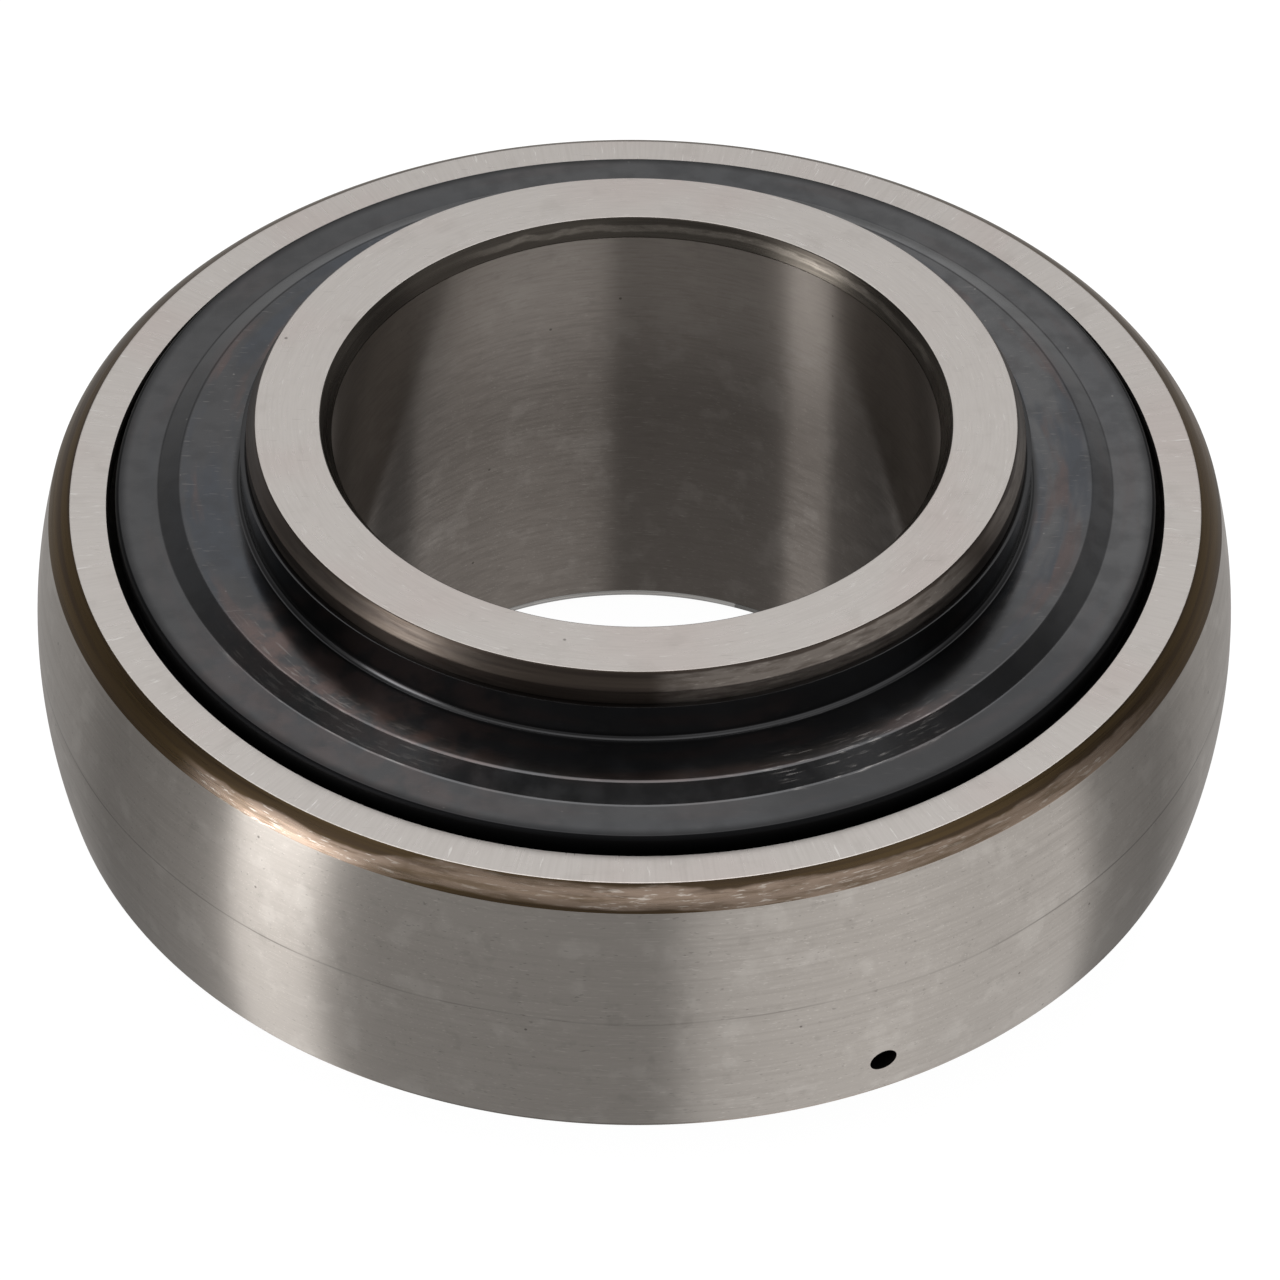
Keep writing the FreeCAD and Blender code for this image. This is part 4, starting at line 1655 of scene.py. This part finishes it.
@dataclass
class Studio:
    """The pale floor, the soft light and the camera.

    Attributes:
        floor_height: Height of what the bearing lies on, in metres.
        floor_size: Side of the floor, in metres.
        floor_gap: How far below the bearing the floor lies, in millimetres.
        floor_colour: The floor's colour, in which the shadow shows.
        floor_roughness: The floor's roughness.
        floor_white: How white the floor is to the rays that see it white.
        arc_inner: Radius of the inside of the arc of floor behind the bore, in millimetres.
        arc_outer: Radius of its outside, in millimetres.
        arc_spread: Half its length, in degrees.
        arc_steps: How many faces it has.
        arc_gap: How far below the bearing it lies, in millimetres.
        camera_place: The camera's place, in millimetres.
        camera_turn: The camera's turn about X, Y and Z, in degrees.
        focal_pixels: The camera's focal length, in pixels of the photograph.
        photo_pixels: Width of the photograph, in pixels.
        sensor: Width of the camera's sensor, in millimetres.
        lamp_place: The lamp's place, in metres.
        lamp_size: The lamp's width and depth, in metres.
        lamp_power: The lamp's power, in watts.
        panel_axis: How far behind the middle the panels' upright axis stands, for a sight of length one.
        wall_levels: Levels of the panels round the bearing, by degrees from -Y towards +X.
        wall_fade: How the walls' level changes between two heights of a sight: low, high and both levels.
        strip_levels: Levels of the bright strip, by degrees as well.
        strip_rise: How many times brighter the strip is higher up.
        strip_fade: Heights of a sight between which it gets brighter.
        overhead_levels: Levels of the panels overhead, from the front to the back, over the middle.
        overhead_side_levels: The same at the sides.
        side_fade: How far aside of the middle those of the sides take over.
        overhead_fade: Heights of a sight between which the panels overhead take over from the walls.
    """

    floor_height: float
    floor_size: float = 8.0
    floor_gap: float = 0.05
    floor_colour: str = "#5A5A5A"
    floor_roughness: float = 0.9
    floor_white: float = 0.97
    arc_inner: float = 29.6
    arc_outer: float = 32.4
    arc_spread: float = 20.0
    arc_steps: int = 30
    arc_gap: float = 0.03
    camera_place: tuple[float, float, float] = (0.0, -526.335, 470.992)
    camera_turn: tuple[float, float, float] = (47.928, -0.468, 0.356)
    focal_pixels: float = 7000.0
    photo_pixels: float = 1280.0
    sensor: float = 36.0
    lamp_place: tuple[float, float, float] = (0.0, 0.25, 1.1)
    lamp_size: tuple[float, float] = (1.1, 0.5)
    lamp_power: float = 6.0
    panel_axis: float = 0.745
    wall_levels: tuple[tuple[float, float], ...] = (
        (-180, 0.6), (-90, 0.5), (-68, 0.42), (-60, 0.25), (-52, 0.31), (-44, 0.4), (-34, 0.45),
        (-26, 0.37), (3, 0.34), (7.5, 0.75), (15, 0.86), (25, 0.93), (35, 0.85), (46.5, 0.88),
        (50.5, 0.36), (60, 0.27), (70, 0.5), (90, 0.55), (180, 0.6),
    )
    wall_fade: tuple[float, float, float, float] = (0.05, 0.45, 1.0, 0.6)
    strip_levels: tuple[tuple[float, float], ...] = (
        (-180, 0.0), (-41.8, 0.0), (-40.6, 1.06), (-31.8, 1.0), (-30.0, 0.35), (-26, 0.0), (180, 0.0),
    )
    strip_rise: float = 4.7
    strip_fade: tuple[float, float] = (-0.4, 0.3)
    overhead_levels: tuple[tuple[float, float], ...] = (
        (-1, 0.35), (-0.8, 0.5), (-0.68, 0.75), (-0.58, 1.0), (-0.32, 1.0), (-0.22, 0.5), (-0.13, 0.06),
        (0.05, 0.05), (0.13, 1.6), (0.5, 1.6), (0.62, 0.73), (0.76, 0.73), (0.83, 0.88), (1, 0.88),
    )
    overhead_side_levels: tuple[tuple[float, float], ...] = (
        (-1, 0.4), (-0.6, 0.8), (-0.2, 0.8), (-0.02, 0.5), (0.1, 0.16), (0.3, 0.12), (0.6, 0.28),
        (0.8, 0.55), (1, 0.73),
    )
    side_fade: tuple[float, float] = (0.32, 0.42)
    overhead_fade: tuple[float, float] = (0.48, 0.62)

    def build(self) -> None:
        """Makes the floor, the lamp, the world and the camera."""
        bpy.context.scene.view_settings.view_transform = "Standard"
        self.make_floor()
        self.make_hole_floor()
        self.make_lamp()
        self.make_world()
        self.make_camera()

    def floor_material(self, name: str, rays: tuple[str, ...]) -> Material:
        """Makes a matt floor that looks white to some rays and keeps the bearing's shadow.

        Args:
            name: The material's name.
            rays: What Light Path calls the rays that see it white.

        Returns:
            The material.
        """
        graph = Graph(name, self.floor_colour, 0.0, self.floor_roughness)
        graph.shader.inputs["Specular IOR Level"].default_value = 0.0
        graph.shader.inputs["Emission Color"].default_value = WHITE
        path = graph.add("ShaderNodeLightPath")
        seen = graph.largest([path.outputs[ray] for ray in rays])
        graph.feed("Emission Strength", graph.times(seen, self.floor_white))
        return graph.material

    def make_floor(self) -> None:
        """Makes a plain pale floor that shows the bearing's soft shadow."""
        select_only()
        bpy.ops.mesh.primitive_plane_add(size=self.floor_size, location=(0, 0, 0))
        floor = bpy.context.object
        floor.name = "floor"
        bpy.ops.object.mode_set(mode="EDIT")
        bpy.ops.transform.translate(value=(0, 0, self.floor_height - self.floor_gap * MM))
        bpy.ops.object.mode_set(mode="OBJECT")
        paint(floor, [self.floor_material("pale_floor", ("Is Camera Ray", "Is Transmission Ray"))])
        floor.visible_glossy = False

    def make_hole_floor(self) -> None:
        """Makes the arc of white floor behind the bore that the bore's lower edge mirrors."""
        height = self.floor_height - self.arc_gap * MM
        arc = start_drawing("floor_at_the_bore", Vector((self.arc_inner * MM, 0, height)))
        width = (self.arc_outer - self.arc_inner) * MM
        bpy.ops.mesh.extrude_vertices_move(TRANSFORM_OT_translate={"value": (width, 0, 0)})
        bpy.ops.mesh.select_all(action="SELECT")
        start = math.radians(90 - self.arc_spread)
        bpy.ops.transform.rotate(value=-start, orient_axis="Z", center_override=(0, 0, height))
        bpy.ops.mesh.spin(
            steps=self.arc_steps, angle=-math.radians(2 * self.arc_spread), center=(0, 0, 0),
            axis=(0, 0, 1),
        )
        bpy.ops.object.mode_set(mode="OBJECT")
        rays = ("Is Camera Ray", "Is Transmission Ray", "Is Glossy Ray")
        paint(arc, [self.floor_material("white_floor_at_the_bore", rays)])
        nearest = min(vertex.co.y for vertex in arc.data.vertices) / MM
        LOG.info("laid the arc of white floor behind the bore, no nearer than %.1f mm", nearest)

    def make_lamp(self) -> None:
        """Makes the large soft lamp overhead."""
        bpy.ops.object.light_add(type="AREA", location=self.lamp_place)
        lamp = bpy.context.object
        lamp.name = "overhead_softbox"
        lamp.data.shape = "RECTANGLE"
        lamp.data.size, lamp.data.size_y = self.lamp_size
        lamp.data.energy = self.lamp_power
        lamp.visible_glossy = False
        lamp.rotation_euler = (-lamp.location).to_track_quat("-Z", "Y").to_euler()

    def make_world(self) -> None:
        """Makes a studio of soft panels that metal reflects, and white for the camera's own rays."""
        world = bpy.data.worlds.new("studio")
        bpy.context.scene.world = world
        world.use_nodes = True
        world.node_tree.nodes.clear()
        graph = NodeGraph(world.node_tree)
        way = graph.add("ShaderNodeTexCoord").outputs["Generated"]
        along = graph.add("ShaderNodeSeparateXYZ", {}, {0: way}).outputs
        away = graph.add("ShaderNodeMath", {"operation": "SUBTRACT"}, {0: self.panel_axis, 1: along["Y"]})
        turn = graph.add("ShaderNodeMath", {"operation": "ARCTAN2"}, {0: along["X"], 1: away.outputs[0]})
        degrees = graph.times(turn.outputs[0], 180 / math.pi)
        walls = graph.steps(degrees, self.wall_levels)
        walls = graph.times(walls, graph.span(along["Z"], *self.wall_fade))
        strip = graph.steps(degrees, self.strip_levels)
        strip = graph.times(strip, graph.span(along["Z"], *self.strip_fade, 1.0, self.strip_rise))
        around = graph.larger(walls, strip)
        middle = graph.steps(along["Y"], self.overhead_levels)
        sides = graph.steps(along["Y"], self.overhead_side_levels)
        aside = graph.add("ShaderNodeMath", {"operation": "ABSOLUTE"}, {0: along["X"]}).outputs[0]
        overhead = graph.blend(graph.span(aside, *self.side_fade), middle, sides)
        studio = graph.blend(graph.span(along["Z"], *self.overhead_fade), around, overhead)
        path = graph.add("ShaderNodeLightPath")
        seen = graph.blend(path.outputs["Is Camera Ray"], studio, WHITE)
        background = graph.add("ShaderNodeBackground", {}, {"Color": seen, "Strength": 1.0})
        output = graph.add("ShaderNodeOutputWorld")
        world.node_tree.links.new(background.outputs[0], output.inputs[0])

    def make_camera(self) -> None:
        """Makes the camera at the photograph's place."""
        bpy.ops.object.camera_add(
            location=[place * MM for place in self.camera_place],
            rotation=[math.radians(turn) for turn in self.camera_turn],
        )
        camera = bpy.context.object
        camera.data.sensor_width = self.sensor
        camera.data.lens = self.focal_pixels / self.photo_pixels * self.sensor
        bpy.context.scene.camera = camera


def place_piece(piece: Object, body: str, node: str) -> None:
    """Lets a piece stand for a CAD node.

    Args:
        piece: The finished piece.
        body: The body that it rides on.
        node: The node that it replaces.
    """
    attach(piece, body)
    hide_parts(node)
    LOG.info("built %s for %s: %d faces", piece.name, node, len(piece.data.polygons))


def main() -> None:
    """Builds and dresses each piece, and then the studio."""
    logging.basicConfig(level=logging.INFO, format="%(name)s: %(message)s")
    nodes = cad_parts

    sphere_radius, outer_width = node_size("outer_ring")
    outer = OuterRing(sphere_radius, outer_width)
    outer_piece = outer.build()
    outer.dress(outer_piece)
    place_piece(outer_piece, "outer_ring", "outer_ring")

    _, inner_width = node_size("inner_ring")
    inner = InnerRing(inner_width)
    inner_piece = inner.build()
    inner.dress(inner_piece)
    place_piece(inner_piece, "inner_ring", "inner_ring")

    rim_radius, _ = node_size("flinger_upper")
    flinger = Flinger(rim_radius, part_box("flinger_upper")[1].z / MM)
    upper_piece = flinger.build()
    flinger.dress(upper_piece)
    lower_piece = flinger.lower_copy(upper_piece)
    place_piece(upper_piece, "inner_ring", "flinger_upper")
    place_piece(lower_piece, "inner_ring", "flinger_lower")

    dress_inner_works(nodes)
    Studio(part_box("inner_ring")[0].z).build()


if __name__ == "__main__":
    main()
